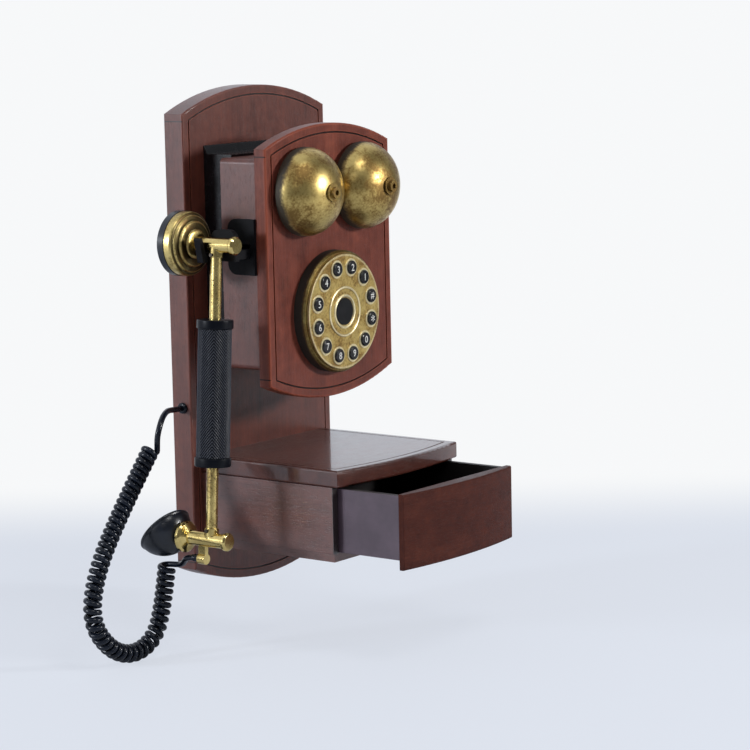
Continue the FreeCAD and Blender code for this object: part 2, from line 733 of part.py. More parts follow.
def hook_pin():
    out0, out1 = hook_opening(0)[:2]
    pin = rod(V(HOOK_PIVOT_X, -out1, HOOK_AXIS_Z), Y_AXIS, HOOK_PIN_R, out1 - out0)
    return pin.fuse(rod(V(HOOK_PIVOT_X, -out0, HOOK_AXIS_Z), Y_AXIS, HOOK_PIN_HEAD_R, HOOK_PIN_HEAD_T))


def hook_lever():
    """Lever: hub and tail inside the box, arm through the slot, back stop and a hooked tine."""
    half_arm = HOOK_ARM_W / 2
    tine_out = HANG_OUT - BOSS_R - FORK_GAP
    tine_in = tine_out - TINE_W
    width = HANG_OUT - tine_in
    stop_x = HANG_X + TEE_R + STOP_OFF
    root_x = HANG_X + BOSS_R + FORK_ROOT
    tip_x = HANG_X - TEE_R - TIP_GAP
    base_x = tip_x + TIP_LEAN / 2
    arm = block(stop_x, HOOK_PIVOT_X + HOOK_TAIL, HANG_OUT - half_arm, HANG_OUT + half_arm,
                HOOK_BOTTOM, HOOK_TOP)
    hub = rod(V(HOOK_PIVOT_X, -HANG_OUT - half_arm, HOOK_AXIS_Z), Y_AXIS, HOOK_HUB_R, HOOK_ARM_W)
    bar = block(root_x, stop_x + STOP_T, tine_in, HANG_OUT + width, HOOK_BOTTOM, HOOK_TOP)
    tip_top = HOOK_TOP + TIP_UP
    side = [
        (root_x, HOOK_BOTTOM),
        (root_x, HOOK_TOP),
        (base_x, HOOK_TOP),
        (base_x - TIP_LEAN, tip_top),
        (base_x - TIP_LEAN - TIP_T, tip_top),
        (base_x - TIP_T, HOOK_BOTTOM),
    ]
    outline = Part.makePolygon([V(x, -tine_out, z) for x, z in side + side[:1]])
    tine = Part.Face(outline).extrude(V(0, TINE_W, 0))
    tine = tine.makeFillet(TIP_R, edges_where(tine, lambda e: e.BoundBox.ZMin > tip_top - 1e-6
                                              and e.BoundBox.YLength > TINE_W / 2))
    stop_top = HANG_Z + TEE_R + STOP_UP
    stop = block(stop_x, stop_x + STOP_T, HANG_OUT - width, HANG_OUT + width, HOOK_BOTTOM, stop_top)
    stop = stop.makeFillet(STOP_R, edges_where(stop, lambda e: e.BoundBox.XLength > STOP_T / 2
                                               and e.BoundBox.ZMin > stop_top - 1e-6))
    lever = arm.fuse([hub, bar, tine, stop]).removeSplitter()
    bore = rod(V(HOOK_PIVOT_X, -HANG_OUT - half_arm, HOOK_AXIS_Z), Y_AXIS, HOOK_PIN_R + PIN_GAP, HOOK_ARM_W)
    return lever.cut(bore)


def hook_switch():
    """Small switch on the circuit board, under the lever's tail."""
    drop = HOOK_TAIL * math.tan(math.radians(HOOK_SWING))
    top = HOOK_BOTTOM - drop - RUN_GAP
    x0 = HOOK_PIVOT_X + HOOK_HUB_R + HOOK_CHEEK_PAST + RUN_GAP
    return block(x0, x0 + SWITCH_W, CIRCUIT_FRONT_OUT, HANG_OUT + HOOK_ARM_W / 2, top - SWITCH_H, top)


# Shelf, drawer case and drawer
def shelf():
    half = SHELF_W / 2
    panel = bowed_panel(half, BOARD_T, BOARD_T + SHELF_OUT, SHELF_BOW, CASE_TOP, SHELF_Z)
    rounded = edges_where(panel, lambda e: e.BoundBox.ZLength < 1e-6 and e.BoundBox.YMin < -BOARD_T - 1)
    panel = panel.makeFillet(SHELF_EDGE_R, rounded)
    corner = BOARD_T + SHELF_OUT
    groove_z = SHELF_Z - GROOVE_D
    inset = GROOVE_IN + GROOVE_W
    outer = bowed_panel(half - GROOVE_IN, BOARD_T, corner - GROOVE_IN, SHELF_BOW, groove_z, SHELF_Z)
    inner = bowed_panel(half - inset, BOARD_T, corner - inset, SHELF_BOW, groove_z, SHELF_Z)
    return panel.cut(outer.cut(inner))


def case_side(sign):
    x0, x1 = sorted((sign * CASE_HALF_W, sign * (CASE_HALF_W - CASE_WALL)))
    return block(x0, x1, BOARD_T, BOARD_T + CASE_OUT, CASE_BOTTOM, CASE_TOP)


def case_base():
    half = CASE_HALF_W - BASE_IN
    return block(-half, half, BOARD_T, BOARD_T + CASE_OUT - BASE_BACK, CASE_BOTTOM - BASE_T, CASE_BOTTOM)


DRAWER_BACK_OUT = DRAWER_FRONT_OUT - DRAWER_FRONT_T - DRAWER_DEPTH
DRAWER_FACE_BACK_OUT = DRAWER_FRONT_OUT - DRAWER_FRONT_T
DRAWER_BOTTOM = CASE_BOTTOM + RUN_GAP
DRAWER_TOP = CASE_TOP - RUN_GAP


def drawer_front():
    panel = bowed_panel(DRAWER_HALF_W, DRAWER_FACE_BACK_OUT, DRAWER_FRONT_OUT, DRAWER_BOW,
                        CASE_BOTTOM - BASE_T - DRAWER_LIP, DRAWER_TOP)
    bowed = -DRAWER_FRONT_OUT - DRAWER_BOW / 2
    rounded = edges_where(panel, lambda e: e.BoundBox.ZLength < 1e-6 and e.BoundBox.YMin < bowed)
    return panel.makeFillet(EDGE_R, rounded)


def drawer_side(sign):
    outer = DRAWER_HALF_W - DRAWER_IN
    x0, x1 = sorted((sign * outer, sign * (outer - DRAWER_WALL)))
    return block(x0, x1, DRAWER_BACK_OUT, DRAWER_FACE_BACK_OUT, DRAWER_BOTTOM, DRAWER_TOP - DRAWER_SIDE_DROP)


def drawer_back():
    half = DRAWER_HALF_W - DRAWER_IN - DRAWER_WALL
    return block(-half, half, DRAWER_BACK_OUT, DRAWER_BACK_OUT + DRAWER_WALL,
                 DRAWER_BOTTOM, DRAWER_TOP - DRAWER_BACK_DROP)


def drawer_bottom():
    half = DRAWER_HALF_W - DRAWER_IN - DRAWER_WALL
    return block(-half, half, DRAWER_BACK_OUT + DRAWER_WALL, DRAWER_FACE_BACK_OUT,
                 DRAWER_BOTTOM, DRAWER_BOTTOM + DRAWER_FLOOR_T)


# Handset, drawn upright about the crossing of its upper tee and its stem
LOWER_Z = -TEE_SPAN
EYE_Z = LOWER_Z - EYE_DROP
HANDSET_PLACE = FreeCAD.Placement(V(HANG_X, -HANG_OUT, HANG_Z), FreeCAD.Rotation(Y_AXIS, HANG_LEAN))
EAR_FRONT = EAR_BACK - EAR_CAP_T - EAR_BAND_W
HORN_AXIS = V(0, math.cos(math.radians(HORN_TILT)), math.sin(math.radians(HORN_TILT)))
HORN_RIM = V(0, HORN_Y, LOWER_Z + HORN_Z)
COLLAR_END = LOWER_REAR + COLLAR_L


def hung(shape):
    """Moves a handset piece from its upright drawing to where it hangs."""
    placed = shape.copy()
    placed.Placement = HANDSET_PLACE.multiply(placed.Placement)
    return placed


def tee_tube(z, front, rear, boss_up):
    """Cross tube along Y with a lipped front cap, a boss for the stem and a socket in the boss."""
    lip_r = TEE_R + TEE_LIP
    profile = [
        (0, -front),
        (lip_r - TEE_LIP, -front),
        (lip_r, -front + TEE_LIP),
        (lip_r, -front + TEE_LIP_W),
        (TEE_R, -front + TEE_LIP_W + TEE_LIP),
        (TEE_R, rear),
        (0, rear),
    ]
    tube = turned(profile, V(0, 0, z), Y_AXIS)
    toward = Z_AXIS if boss_up else -Z_AXIS
    tube = tube.fuse(rod(V(0, 0, z), toward, BOSS_R, TEE_R + BOSS_H))
    return tube.cut(rod(V(0, 0, z), toward, STEM_R, TEE_R + BOSS_H))


def set_screw(z, end):
    """Screw, or the hole for it, from outside the boss inwards to an X value."""
    start = V(-BOSS_R - SET_SCREW_OUT, 0, z)
    return rod(start, X_AXIS, SET_SCREW_R, end - start.x)


def screw_heights():
    return [-TEE_R - BOSS_H / 2, LOWER_Z + TEE_R + BOSS_H / 2]


def upper_tee():
    return hung(tee_tube(0, UPPER_FRONT, UPPER_REAR, False).cut(set_screw(screw_heights()[0], 0)))


def lower_tee():
    """Lower cross tube with the cord eye under it."""
    tube = tee_tube(LOWER_Z, LOWER_FRONT, LOWER_REAR, True).cut(set_screw(screw_heights()[1], 0))
    eye = rod(V(0, EYE_Y, EYE_Z), Y_AXIS, EYE_R, EYE_L)
    web = Part.makeBox(EYE_WEB_W, EYE_L, EYE_DROP, V(-EYE_WEB_W / 2, EYE_Y, EYE_Z))
    socket = rod(V(0, EYE_Y + EYE_FLOOR, EYE_Z), Y_AXIS, SLEEVE_R, EYE_L)
    shaft = rod(V(0, 0, LOWER_Z), Z_AXIS, STEM_R, TEE_R + BOSS_H)
    return hung(tube.fuse([eye, web]).cut([socket, shaft]))


def tee_screws():
    return Part.makeCompound([hung(set_screw(z, -STEM_R)) for z in screw_heights()])


def stem():
    return hung(rod(V(0, 0, LOWER_Z), Z_AXIS, STEM_R, TEE_SPAN))


def grip():
    """Handle sleeve on the stem with a smooth collar at each end."""
    collar_r = GRIP_R + GRIP_COLLAR_UP
    low = -GRIP_TOP - GRIP_L
    profile = [
        (STEM_R, low),
        (collar_r - EDGE_R, low),
        (collar_r, low + EDGE_R),
        (collar_r, low + GRIP_COLLAR_W),
        (GRIP_R, low + GRIP_COLLAR_W),
        (GRIP_R, -GRIP_TOP - GRIP_COLLAR_W),
        (collar_r, -GRIP_TOP - GRIP_COLLAR_W),
        (collar_r, -GRIP_TOP - EDGE_R),
        (collar_r - EDGE_R, -GRIP_TOP),
        (STEM_R, -GRIP_TOP),
    ]
    return hung(turned(profile, V(0, 0, 0), Z_AXIS))


def ear_shell():
    """Stepped metal shell of the earpiece, open at the back for the receiver."""
    band_back = EAR_BACK - EAR_CAP_T
    step = (EAR_FRONT - UPPER_REAR) / 3
    profile = [
        (0, UPPER_REAR),
        (TEE_R, UPPER_REAR),
        (EAR_NECK_R, UPPER_REAR + step),
        (EAR_STEP_2_R, UPPER_REAR + step),
        (EAR_STEP_2_R, UPPER_REAR + 2 * step),
        (EAR_STEP_1_R, UPPER_REAR + 2 * step),
        (EAR_STEP_1_R, EAR_FRONT),
        (EAR_R, EAR_FRONT + EDGE_R),
        (EAR_R, band_back),
        (EAR_STEP_1_R - EAR_WALL, band_back),
        (EAR_STEP_1_R - EAR_WALL, band_back - CAPSULE_T),
        (0, band_back - CAPSULE_T),
    ]
    return hung(turned(profile, V(0, 0, 0), Y_AXIS))


def ear_capsule():
    """Receiver disc inside the earpiece."""
    start = V(0, EAR_BACK - EAR_CAP_T - CAPSULE_T, 0)
    return hung(rod(start, Y_AXIS, EAR_STEP_1_R - EAR_WALL, CAPSULE_T))


def ear_cap():
    """Ear cap with a dished face and sound holes."""
    start = V(0, EAR_BACK - EAR_CAP_T, 0)
    profile = [
        (0, 0),
        (EAR_R + EAR_CAP_RIM, 0),
        (EAR_R + EAR_CAP_RIM, EAR_CAP_T - EDGE_R),
        (EAR_R + EAR_CAP_RIM - EDGE_R, EAR_CAP_T),
        (EAR_R - EAR_CAP_WALL, EAR_CAP_T),
        (0, EAR_CAP_T - EAR_DISH),
    ]
    cap = turned(profile, start, Y_AXIS)
    holes = [rod(start, Y_AXIS, EAR_HOLE_R, EAR_CAP_T)]
    for k in range(HOLES_ROUND):
        angle = 2 * math.pi * k / HOLES_ROUND
        offset = V(math.cos(angle), 0, math.sin(angle)) * EAR_HOLE_RING_R
        holes.append(rod(start + offset, Y_AXIS, EAR_HOLE_R, EAR_CAP_T))
    return hung(cap.cut(holes))


def mouth_collar():
    """Flared metal collar between the lower tee and the mouthpiece."""
    profile = [
        (0, 0),
        (TEE_R, 0),
        (COLLAR_R - EDGE_R, COLLAR_L / 3),
        (COLLAR_R, COLLAR_L / 3 + EDGE_R),
        (COLLAR_R, COLLAR_L - EDGE_R),
        (COLLAR_R - EDGE_R, COLLAR_L),
        (0, COLLAR_L),
    ]
    return hung(turned(profile, V(0, LOWER_REAR, LOWER_Z), Y_AXIS))


def horn_bowl(radius, depth):
    """Bowl of the mouthpiece, straight at the rim and rounded below, its mouth turned up and back."""
    bowl = dome(radius, depth - HORN_SIDE)
    bowl.Placement = FreeCAD.Placement(HORN_RIM - HORN_AXIS * HORN_SIDE, FreeCAD.Rotation(Z_AXIS, -HORN_AXIS))
    return bowl.fuse(rod(HORN_RIM, -HORN_AXIS, radius, HORN_SIDE)).removeSplitter()


def mouth_horn():
    """Mouthpiece bowl with a rolled lip, joined to the collar by a short boss."""
    outer = horn_bowl(HORN_R, HORN_DEPTH)
    lip = Part.makeTorus(HORN_R - HORN_LIP, HORN_LIP, HORN_RIM, HORN_AXIS)
    boss = rod(V(0, COLLAR_END, LOWER_Z), Y_AXIS, HORN_BOSS_R, HORN_Y - COLLAR_END)
    mouth_cut = rod(HORN_RIM, HORN_AXIS, 3 * HORN_R, 3 * HORN_R)
    collar_room = rod(V(0, COLLAR_END, LOWER_Z), -Y_AXIS, 3 * HORN_R, 3 * HORN_R)
    body = outer.fuse(boss.cut(mouth_cut)).cut(collar_room)
    inside = horn_bowl(HORN_R - HORN_WALL, HORN_DEPTH - HORN_WALL)
    seat = rod(HORN_RIM - HORN_AXIS * (HORN_DEPTH - HORN_WALL - MIC_T), HORN_AXIS, MIC_R, HORN_DEPTH)
    return hung(body.cut(inside.fuse(seat)).fuse(lip).removeSplitter())


def mic_capsule():
    """Transmitter disc at the bottom of the mouthpiece."""
    start = HORN_RIM - HORN_AXIS * (HORN_DEPTH - HORN_WALL - MIC_T)
    disc = rod(start, HORN_AXIS, MIC_R - SEAT_GAP, MIC_T)
    holes = []
    across = HORN_AXIS.cross(X_AXIS)
    for k in range(HOLES_ROUND):
        angle = 2 * math.pi * k / HOLES_ROUND
        offset = (X_AXIS * math.cos(angle) + across * math.sin(angle)) * MIC_HOLE_RING_R
        holes.append(rod(start + offset + HORN_AXIS * (MIC_T / 2), HORN_AXIS, EAR_HOLE_R, MIC_T))
    return hung(disc.cut(holes))


# Cord: straight runs joined by tangent arcs, and a helix for the curls
def route_wire(points, label):
    """Wire of straight runs with an arc at each inner point, as wide as the shorter run allows."""
    edges = []
    radii = []
    start = points[0]
    for before, corner, after in zip(points, points[1:], points[2:]):
        back = before - corner
        ahead = after - corner
        turn = math.pi - back.getAngle(ahead)
        reach = 0.45 * min(back.Length, ahead.Length)
        radius = reach / math.tan(turn / 2)
        radii.append(radius)
        back.normalize()
        ahead.normalize()
        enter = corner + back * reach
        leave = corner + ahead * reach
        inward = (back + ahead).normalize()
        middle = corner + inward * (radius / math.cos(turn / 2) - radius)
        edges.append(Part.LineSegment(start, enter).toShape())
        edges.append(Part.Arc(enter, middle, leave).toShape())
        start = leave
    edges.append(Part.LineSegment(start, points[-1]).toShape())
    print(label, "arc radii", [round(radius, 1) for radius in radii])
    return Part.Wire(edges)


def tube_along(wire, radius, label):
    """Round tube swept along a wire, with its volume held against section times length."""
    start = wire.Edges[0].valueAt(wire.Edges[0].FirstParameter)
    direction = wire.Edges[0].tangentAt(wire.Edges[0].FirstParameter)
    ring = Part.Wire(Part.makeCircle(radius, start, direction))
    tube = Part.Wire(wire).makePipeShell([ring], True, False)
    expected = math.pi * radius ** 2 * wire.Length
    print(label, "volume", round(tube.Volume, 1), "section x length", round(expected, 1))
    return tube


def arc_between(start, end, direction):
    """Arc that leaves its start along the direction and reaches the end."""
    chord = end - start
    along = V(chord).normalize()
    side = direction - along * direction.dot(along)
    bend = direction.getAngle(chord)
    middle = (start + end) * 0.5 + side.normalize() * (chord.Length / 2 * math.tan(bend / 2))
    return Part.Arc(start, middle, end).toShape()


def biarc(start, start_dir, end, end_dir):
    """Two arcs that meet smoothly between two points with given directions."""
    span = end - start
    total = start_dir + end_dir
    spread = 2 * (1 - start_dir.dot(end_dir))
    reach = (math.sqrt(span.dot(total) ** 2 + spread * span.dot(span)) - span.dot(total)) / spread
    joint = (start + end + (start_dir - end_dir) * reach) * 0.5
    first = arc_between(start, joint, start_dir)
    joint_dir = first.tangentAt(first.LastParameter)
    return [first, arc_between(joint, end, joint_dir)]


def helix_edges(places, turn_radius):
    """Quarter-turn biarcs of a helix; each place holds a centre, two normals of the axis and an angle."""
    points = []
    slopes = []
    for k, (centre, side, across, a) in enumerate(places):
        low = max(k - 1, 0)
        high = min(k + 1, len(places) - 1)
        advance = (places[high][0] - places[low][0]) * (1.0 / (places[high][3] - places[low][3]))
        points.append(centre + (side * math.cos(a) + across * math.sin(a)) * turn_radius)
        slopes.append(((across * math.cos(a) - side * math.sin(a)) * turn_radius + advance).normalize())
    edges = []
    for k in range(len(points) - 1):
        edges += biarc(points[k], slopes[k], points[k + 1], slopes[k + 1])
    return points, slopes, edges


def axis_places(wire, turns, start, turn_radius):
    """Places on the axis a quarter turn apart, wider spaced in its bends, with the helix angle at each."""
    steps = int(round(turns * 4))
    tightness = [1 / (1 + turn_radius * edge.curvatureAt(edge.FirstParameter)) for edge in wire.Edges]
    total = sum(edge.Length * tight for edge, tight in zip(wire.Edges, tightness))
    places = []
    for k in range(steps + 1):
        wanted = min(total * k / steps, total - 1e-6)
        for edge, tight in zip(wire.Edges, tightness):
            if wanted <= edge.Length * tight:
                break
            wanted -= edge.Length * tight
        parameter = edge.getParameterByLength(wanted / tight)
        along = edge.tangentAt(parameter)
        side = V(-along.z, 0, along.x).normalize()
        angle = math.radians(start) + 2 * math.pi * turns * k / steps
        places.append((edge.valueAt(parameter), side, side.cross(along), angle))
    print("curl spacing", round(total / turns, 2))
    return places


def least_gap(wire, turn_samples, tube_r):
    """Least distance between the tube's own neighbouring turns, measured on points of its centre line."""
    points = wire.discretize(turn_samples)
    best = 1e9
    window = 60
    skip = 12
    for k, point in enumerate(points):
        for other in points[k + skip:k + window]:
            best = min(best, point.distanceToPoint(other))
    return best - 2 * tube_r


CURL_AXIS = route_wire([V(*point) for point in CURL_ROUTE], "curl axis")
CURL_PLACES = axis_places(CURL_AXIS, CURLS, CURL_START, CURL_R)
CURL_POINTS, CURL_SLOPES, CURL_EDGES = helix_edges(CURL_PLACES, CURL_R)
CURL_END = 2 * CORD_R
CURL_FIRST = CURL_POINTS[0] - CURL_SLOPES[0] * CURL_END
CURL_LAST = CURL_POINTS[-1] + CURL_SLOPES[-1] * CURL_END


def curly_cord():
    """Curled stretch of the cord, one tube with a straight end at each side."""
    lead_in = Part.LineSegment(CURL_FIRST, CURL_POINTS[0]).toShape()
    lead_out = Part.LineSegment(CURL_POINTS[-1], CURL_LAST).toShape()
    wire = Part.Wire([lead_in] + CURL_EDGES + [lead_out])
    print("curl least gap", round(least_gap(wire, int(CURLS * 32), CORD_R), 2), "curls", CURLS)
    return tube_along(wire, CORD_R, "curly cord")


def cord_grommet():
    """Grommet in the board's left edge where the cord leaves the case."""
    mouth = V(-BOARD_W / 2, CORD_Y, GROMMET_Z)
    barrel = rod(mouth, X_AXIS, GROMMET_R - GROMMET_BARREL_IN - SEAT_GAP, GROMMET_L)
    flange = rod(mouth, -X_AXIS, GROMMET_R, GROMMET_T)
    outer_x = mouth.x - GROMMET_T / 2
    rounded = edges_where(flange, lambda e: e.BoundBox.XMax < outer_x and e.BoundBox.XLength < 1e-6)
    flange = flange.makeFillet(EDGE_R, rounded)
    return barrel.fuse(flange)


def cord_lead():
    """Straight stretch of cord from the grommet to the first curl."""
    start = V(-BOARD_W / 2 - GROMMET_T, CORD_Y, GROMMET_Z)
    onto_curl = CURL_FIRST - CURL_SLOPES[0] * LEAD_RUN
    points = [start] + [V(*point) for point in LEAD_ROUTE] + [onto_curl, CURL_FIRST]
    return tube_along(route_wire(points, "lead"), CORD_R, "cord lead")


def cord_tail():
    """Last stretch of cord from the curls to the sleeve in the handset's cord eye."""
    sleeve = hung(rod(V(0, EYE_Y + EYE_FLOOR, EYE_Z), Y_AXIS, SLEEVE_R, EYE_L - EYE_FLOOR + SLEEVE_L))
    sleeve_end = HANDSET_PLACE.multVec(V(0, EYE_Y + EYE_L + SLEEVE_L, EYE_Z))
    off_curl = CURL_LAST + CURL_SLOPES[-1] * TAIL_RUN
    points = [sleeve_end] + [V(*point) for point in TAIL_ROUTE] + [off_curl, CURL_LAST]
    return sleeve.fuse(tube_along(route_wire(points, "tail"), CORD_R, "cord tail"))


def hook_spring():
    """Compression spring under the lever's arm, with flat straight ends."""
    x = (HOOK_PIVOT_X - HOOK_HUB_R - BOX_HALF_W) / 2
    steps = SPRING_TURNS * 4
    low = HOOK_FLOOR_Z + SPRING_WIRE_R + SEAT_GAP
    rise = SPRING_H - 2 * (SPRING_WIRE_R + SEAT_GAP)
    places = []
    for k in range(steps + 1):
        centre = V(x, -HANG_OUT, low + rise * k / steps)
        places.append((centre, X_AXIS, Y_AXIS, math.pi / 2 * k))
    points, slopes, edges = helix_edges(places, SPRING_R)
    return tube_along(Part.Wire(edges), SPRING_WIRE_R, "hook spring")


BUTTON_NAMES = ["1", "2", "3", "4", "5", "6", "7", "8", "9", "0", "star", "hash"]

parts = {
    "back_board": back_board(),
    "rear_cover": rear_cover(),
    "rear_screws": rear_screws(),
    "hanger_plates": hanger_plates(),
    "neck": neck(),
    "box_frame": box_frame(),
    "box_back": box_back(),
    "main_board": main_board(),
    "ringer": ringer(),
    "line_jack": line_jack(),
    "front_plate": front_plate(),
    "bell_left": bell(-BELL_X),
    "bell_right": bell(BELL_X),
    "bell_bolts": bell_bolts(),
    "dial_base": dial_base(),
    "dial_ring": dial_ring(),
    "dial_centre": dial_centre(),
    "keypad_mat": keypad_mat(),
    "keypad_board": keypad_board(),
    "hook_plate": hook_plate(),
    "hook_lever": hook_lever(),
    "hook_pin": hook_pin(),
    "hook_switch": hook_switch(),
    "hook_spring": hook_spring(),
    "shelf": shelf(),
    "case_side_left": case_side(-1),
    "case_side_right": case_side(1),
    "case_base": case_base(),
    "drawer_front": drawer_front(),
    "drawer_side_left": drawer_side(-1),
    "drawer_side_right": drawer_side(1),
    "drawer_back": drawer_back(),
    "drawer_bottom": drawer_bottom(),
    "ear_cap": ear_cap(),
    "ear_shell": ear_shell(),
    "ear_capsule": ear_capsule(),
    "upper_tee": upper_tee(),
    "stem": stem(),
    "grip": grip(),
    "lower_tee": lower_tee(),
    "mouth_collar": mouth_collar(),
    "mouth_horn": mouth_horn(),
    "mic_capsule": mic_capsule(),
    "tee_screws": tee_screws(),
    "cord_grommet": cord_grommet(),
    "cord_lead": cord_lead(),
    "curly_cord": curly_cord(),
    "cord_tail": cord_tail(),
}
for name, place in zip(BUTTON_NAMES, button_places()):
    parts["button_" + name] = button(place)

os.makedirs("parts", exist_ok=True)
for name, shape in parts.items():
    shape.exportStep("parts/" + name + ".step")
    print(name, "solids", len(shape.Solids), "valid", shape.isValid(), "volume", round(shape.Volume, 1))
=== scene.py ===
import math

import bpy
from mathutils import Matrix, Vector


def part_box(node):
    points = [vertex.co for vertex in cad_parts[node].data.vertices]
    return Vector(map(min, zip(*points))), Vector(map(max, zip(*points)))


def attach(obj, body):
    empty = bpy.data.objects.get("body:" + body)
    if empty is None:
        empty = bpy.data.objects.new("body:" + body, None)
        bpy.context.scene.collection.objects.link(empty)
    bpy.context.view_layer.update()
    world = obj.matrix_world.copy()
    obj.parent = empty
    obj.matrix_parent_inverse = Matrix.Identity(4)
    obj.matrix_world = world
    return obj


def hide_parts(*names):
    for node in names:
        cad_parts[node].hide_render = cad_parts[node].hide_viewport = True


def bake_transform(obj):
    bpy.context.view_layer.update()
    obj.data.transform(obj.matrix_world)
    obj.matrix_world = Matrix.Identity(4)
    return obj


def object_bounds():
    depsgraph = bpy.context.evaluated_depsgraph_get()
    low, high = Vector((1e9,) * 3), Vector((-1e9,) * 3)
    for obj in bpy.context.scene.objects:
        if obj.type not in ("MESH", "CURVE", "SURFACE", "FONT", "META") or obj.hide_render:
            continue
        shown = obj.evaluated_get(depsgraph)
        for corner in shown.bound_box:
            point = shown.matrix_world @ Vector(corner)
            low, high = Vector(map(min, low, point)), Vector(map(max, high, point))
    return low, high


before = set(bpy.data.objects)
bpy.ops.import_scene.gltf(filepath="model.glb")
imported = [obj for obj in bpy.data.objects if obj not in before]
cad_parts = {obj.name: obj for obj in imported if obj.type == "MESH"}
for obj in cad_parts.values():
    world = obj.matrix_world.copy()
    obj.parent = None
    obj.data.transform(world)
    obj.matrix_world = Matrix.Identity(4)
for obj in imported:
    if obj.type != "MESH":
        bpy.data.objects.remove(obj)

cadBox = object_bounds()
scene = bpy.context.scene
mm = 0.001
# settings are in metres and degrees, unless a note says otherwise
print("frame loaded")


# Camera, solved from the photo

view = {
    "place": (-1.4402, -1.2030, 0.23745),
    "aim": (0.78983, 0.59641, -0.14306),
    "roll": -1.18,
    # lens and sensor in millimetres
    "lens": 128.62,
    "sensor": 36,
    "near": 0.05,
}


def makeCamera():
    camera = bpy.data.objects.new("camera", bpy.data.cameras.new("camera"))
    scene.collection.objects.link(camera)
    camera.data.sensor_width = view["sensor"]
    camera.data.lens = view["lens"]
    camera.data.clip_start = view["near"]
    turn = Vector(view["aim"]).to_track_quat("-Z", "Y").to_matrix().to_4x4()
    roll = Matrix.Rotation(math.radians(view["roll"]), 4, "Z")
    camera.matrix_world = Matrix.Translation(view["place"]) @ turn @ roll
    scene.camera = camera


makeCamera()
print("camera made")


# Mesh helpers

def addPiece(name, mesh, body, sharp=32):
    mesh.name = name
    mesh.shade_smooth()
    mesh.set_sharp_from_angle(angle=math.radians(sharp))
    piece = bpy.data.objects.new(name, mesh)
    scene.collection.objects.link(piece)
    if body:
        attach(piece, body)
    return piece


def softened(outline, radius, steps=4, most=0.45):
    # rounds each inner corner of an outline, within a share of the sides beside it
    points = [Vector(p) for p in outline]
    result = [points[0]]
    for before, corner, after in zip(points, points[1:], points[2:]):
        back = before - corner
        ahead = after - corner
        cut = min(radius, back.length * most, ahead.length * most)
        start = corner + back.normalized() * cut
        end = corner + ahead.normalized() * cut
        for k in range(steps + 1):
            t = k / steps
            result.append(start * (1 - t) ** 2 + corner * (2 * t * (1 - t)) + end * t ** 2)
    result.append(points[-1])
    return [tuple(p) for p in result]


def axisPlace(start, end):
    # a frame at start with its Z axis towards end
    start = Vector(start)
    turn = (Vector(end) - start).to_track_quat("Z", "Y").to_matrix().to_4x4()
    return Matrix.Translation(start) @ turn


def turned(outline, place, steps=96, carve=None):
    # a closed ring of (radius, height) points turned about the local Z axis of place
    verts = []
    for radius, height in outline:
        for k in range(steps):
            angle = 2 * math.pi * k / steps
            reach = radius - (carve(angle, height) if carve else 0)
            verts.append(place @ Vector((reach * math.cos(angle), reach * math.sin(angle), height)))
    faces = []
    count = len(outline)
    for row in range(count):
        low = row * steps
        high = (row + 1) % count * steps
        for k in range(steps):
            n = (k + 1) % steps
            faces.append((low + k, low + n, high + n, high + k))
    mesh = bpy.data.meshes.new("turned")
    mesh.from_pydata(verts, [], faces)
    return mesh


def nurbsCurve(points, radius, resolution, roundness=4, order=3):
    data = bpy.data.curves.new("route", "CURVE")
    data.dimensions = "3D"
    data.resolution_u = resolution
    data.bevel_depth = radius
    data.bevel_resolution = roundness
    data.use_fill_caps = radius > 0
    spline = data.splines.new("NURBS")
    spline.points.add(len(points) - 1)
    for point, place in zip(spline.points, points):
        point.co = (*place, 1)
    spline.order_u = order
    spline.use_endpoint_u = True
    return bpy.data.meshes.new_from_object(bpy.data.objects.new("route", data))


def lineOf(points, resolution):
    return [v.co.copy() for v in nurbsCurve(points, 0, resolution).vertices]


def lengthOf(line):
    return sum((b - a).length for a, b in zip(line, line[1:]))


# Curly cord from the grommet to the handset's eye

cord = {
    "radius": 1.9 * mm,
    "tubeRadius": 2.0 * mm,
    "curlRadius": 4.4 * mm,
    "curls": 50.667,
    "startTurn": -60,
    "pointsPerCurl": 20,
    "axisSteps": 48,
    "pathSteps": 4,
    "tubeSteps": 2,
    "length": 1.507,
    "lead": [
        (-0.0792, -0.0090, -0.0439),
        (-0.0875, -0.0090, -0.0439),
        (-0.0970, -0.0124, -0.0424),
        (-0.1065, -0.0164, -0.0449),
        (-0.1127, -0.0189, -0.0504),
        (-0.1148, -0.0184, -0.0573),
        (-0.113741, -0.017113, -0.062114),
        (-0.111164, -0.014668, -0.065632),
    ],
    "curl": [
        (-0.1109, -0.0090, -0.0669),
        (-0.1490, -0.0104, -0.1090),
        (-0.1740, -0.0124, -0.1430),
        (-0.1810, -0.0139, -0.1720),
        (-0.1650, -0.0153, -0.1940),
        (-0.1430, -0.0164, -0.2020),
        (-0.1225, -0.0176, -0.1940),
        (-0.1148, -0.0193, -0.1700),
        (-0.1128, -0.0215, -0.1450),
    ],
    "tail": [
        (-0.108399, -0.025298, -0.145059),
        (-0.108380, -0.029785, -0.144713),
        (-0.1099, -0.0340, -0.1429),
        (-0.1123, -0.0375, -0.1396),
        (-0.1141, -0.0412, -0.1376),
        (-0.1146, -0.0460, -0.13679),
    ],
    "bendStart": (-0.163, -0.009, -0.133),
    "bendEnd": (-0.138, -0.009, -0.158),
}
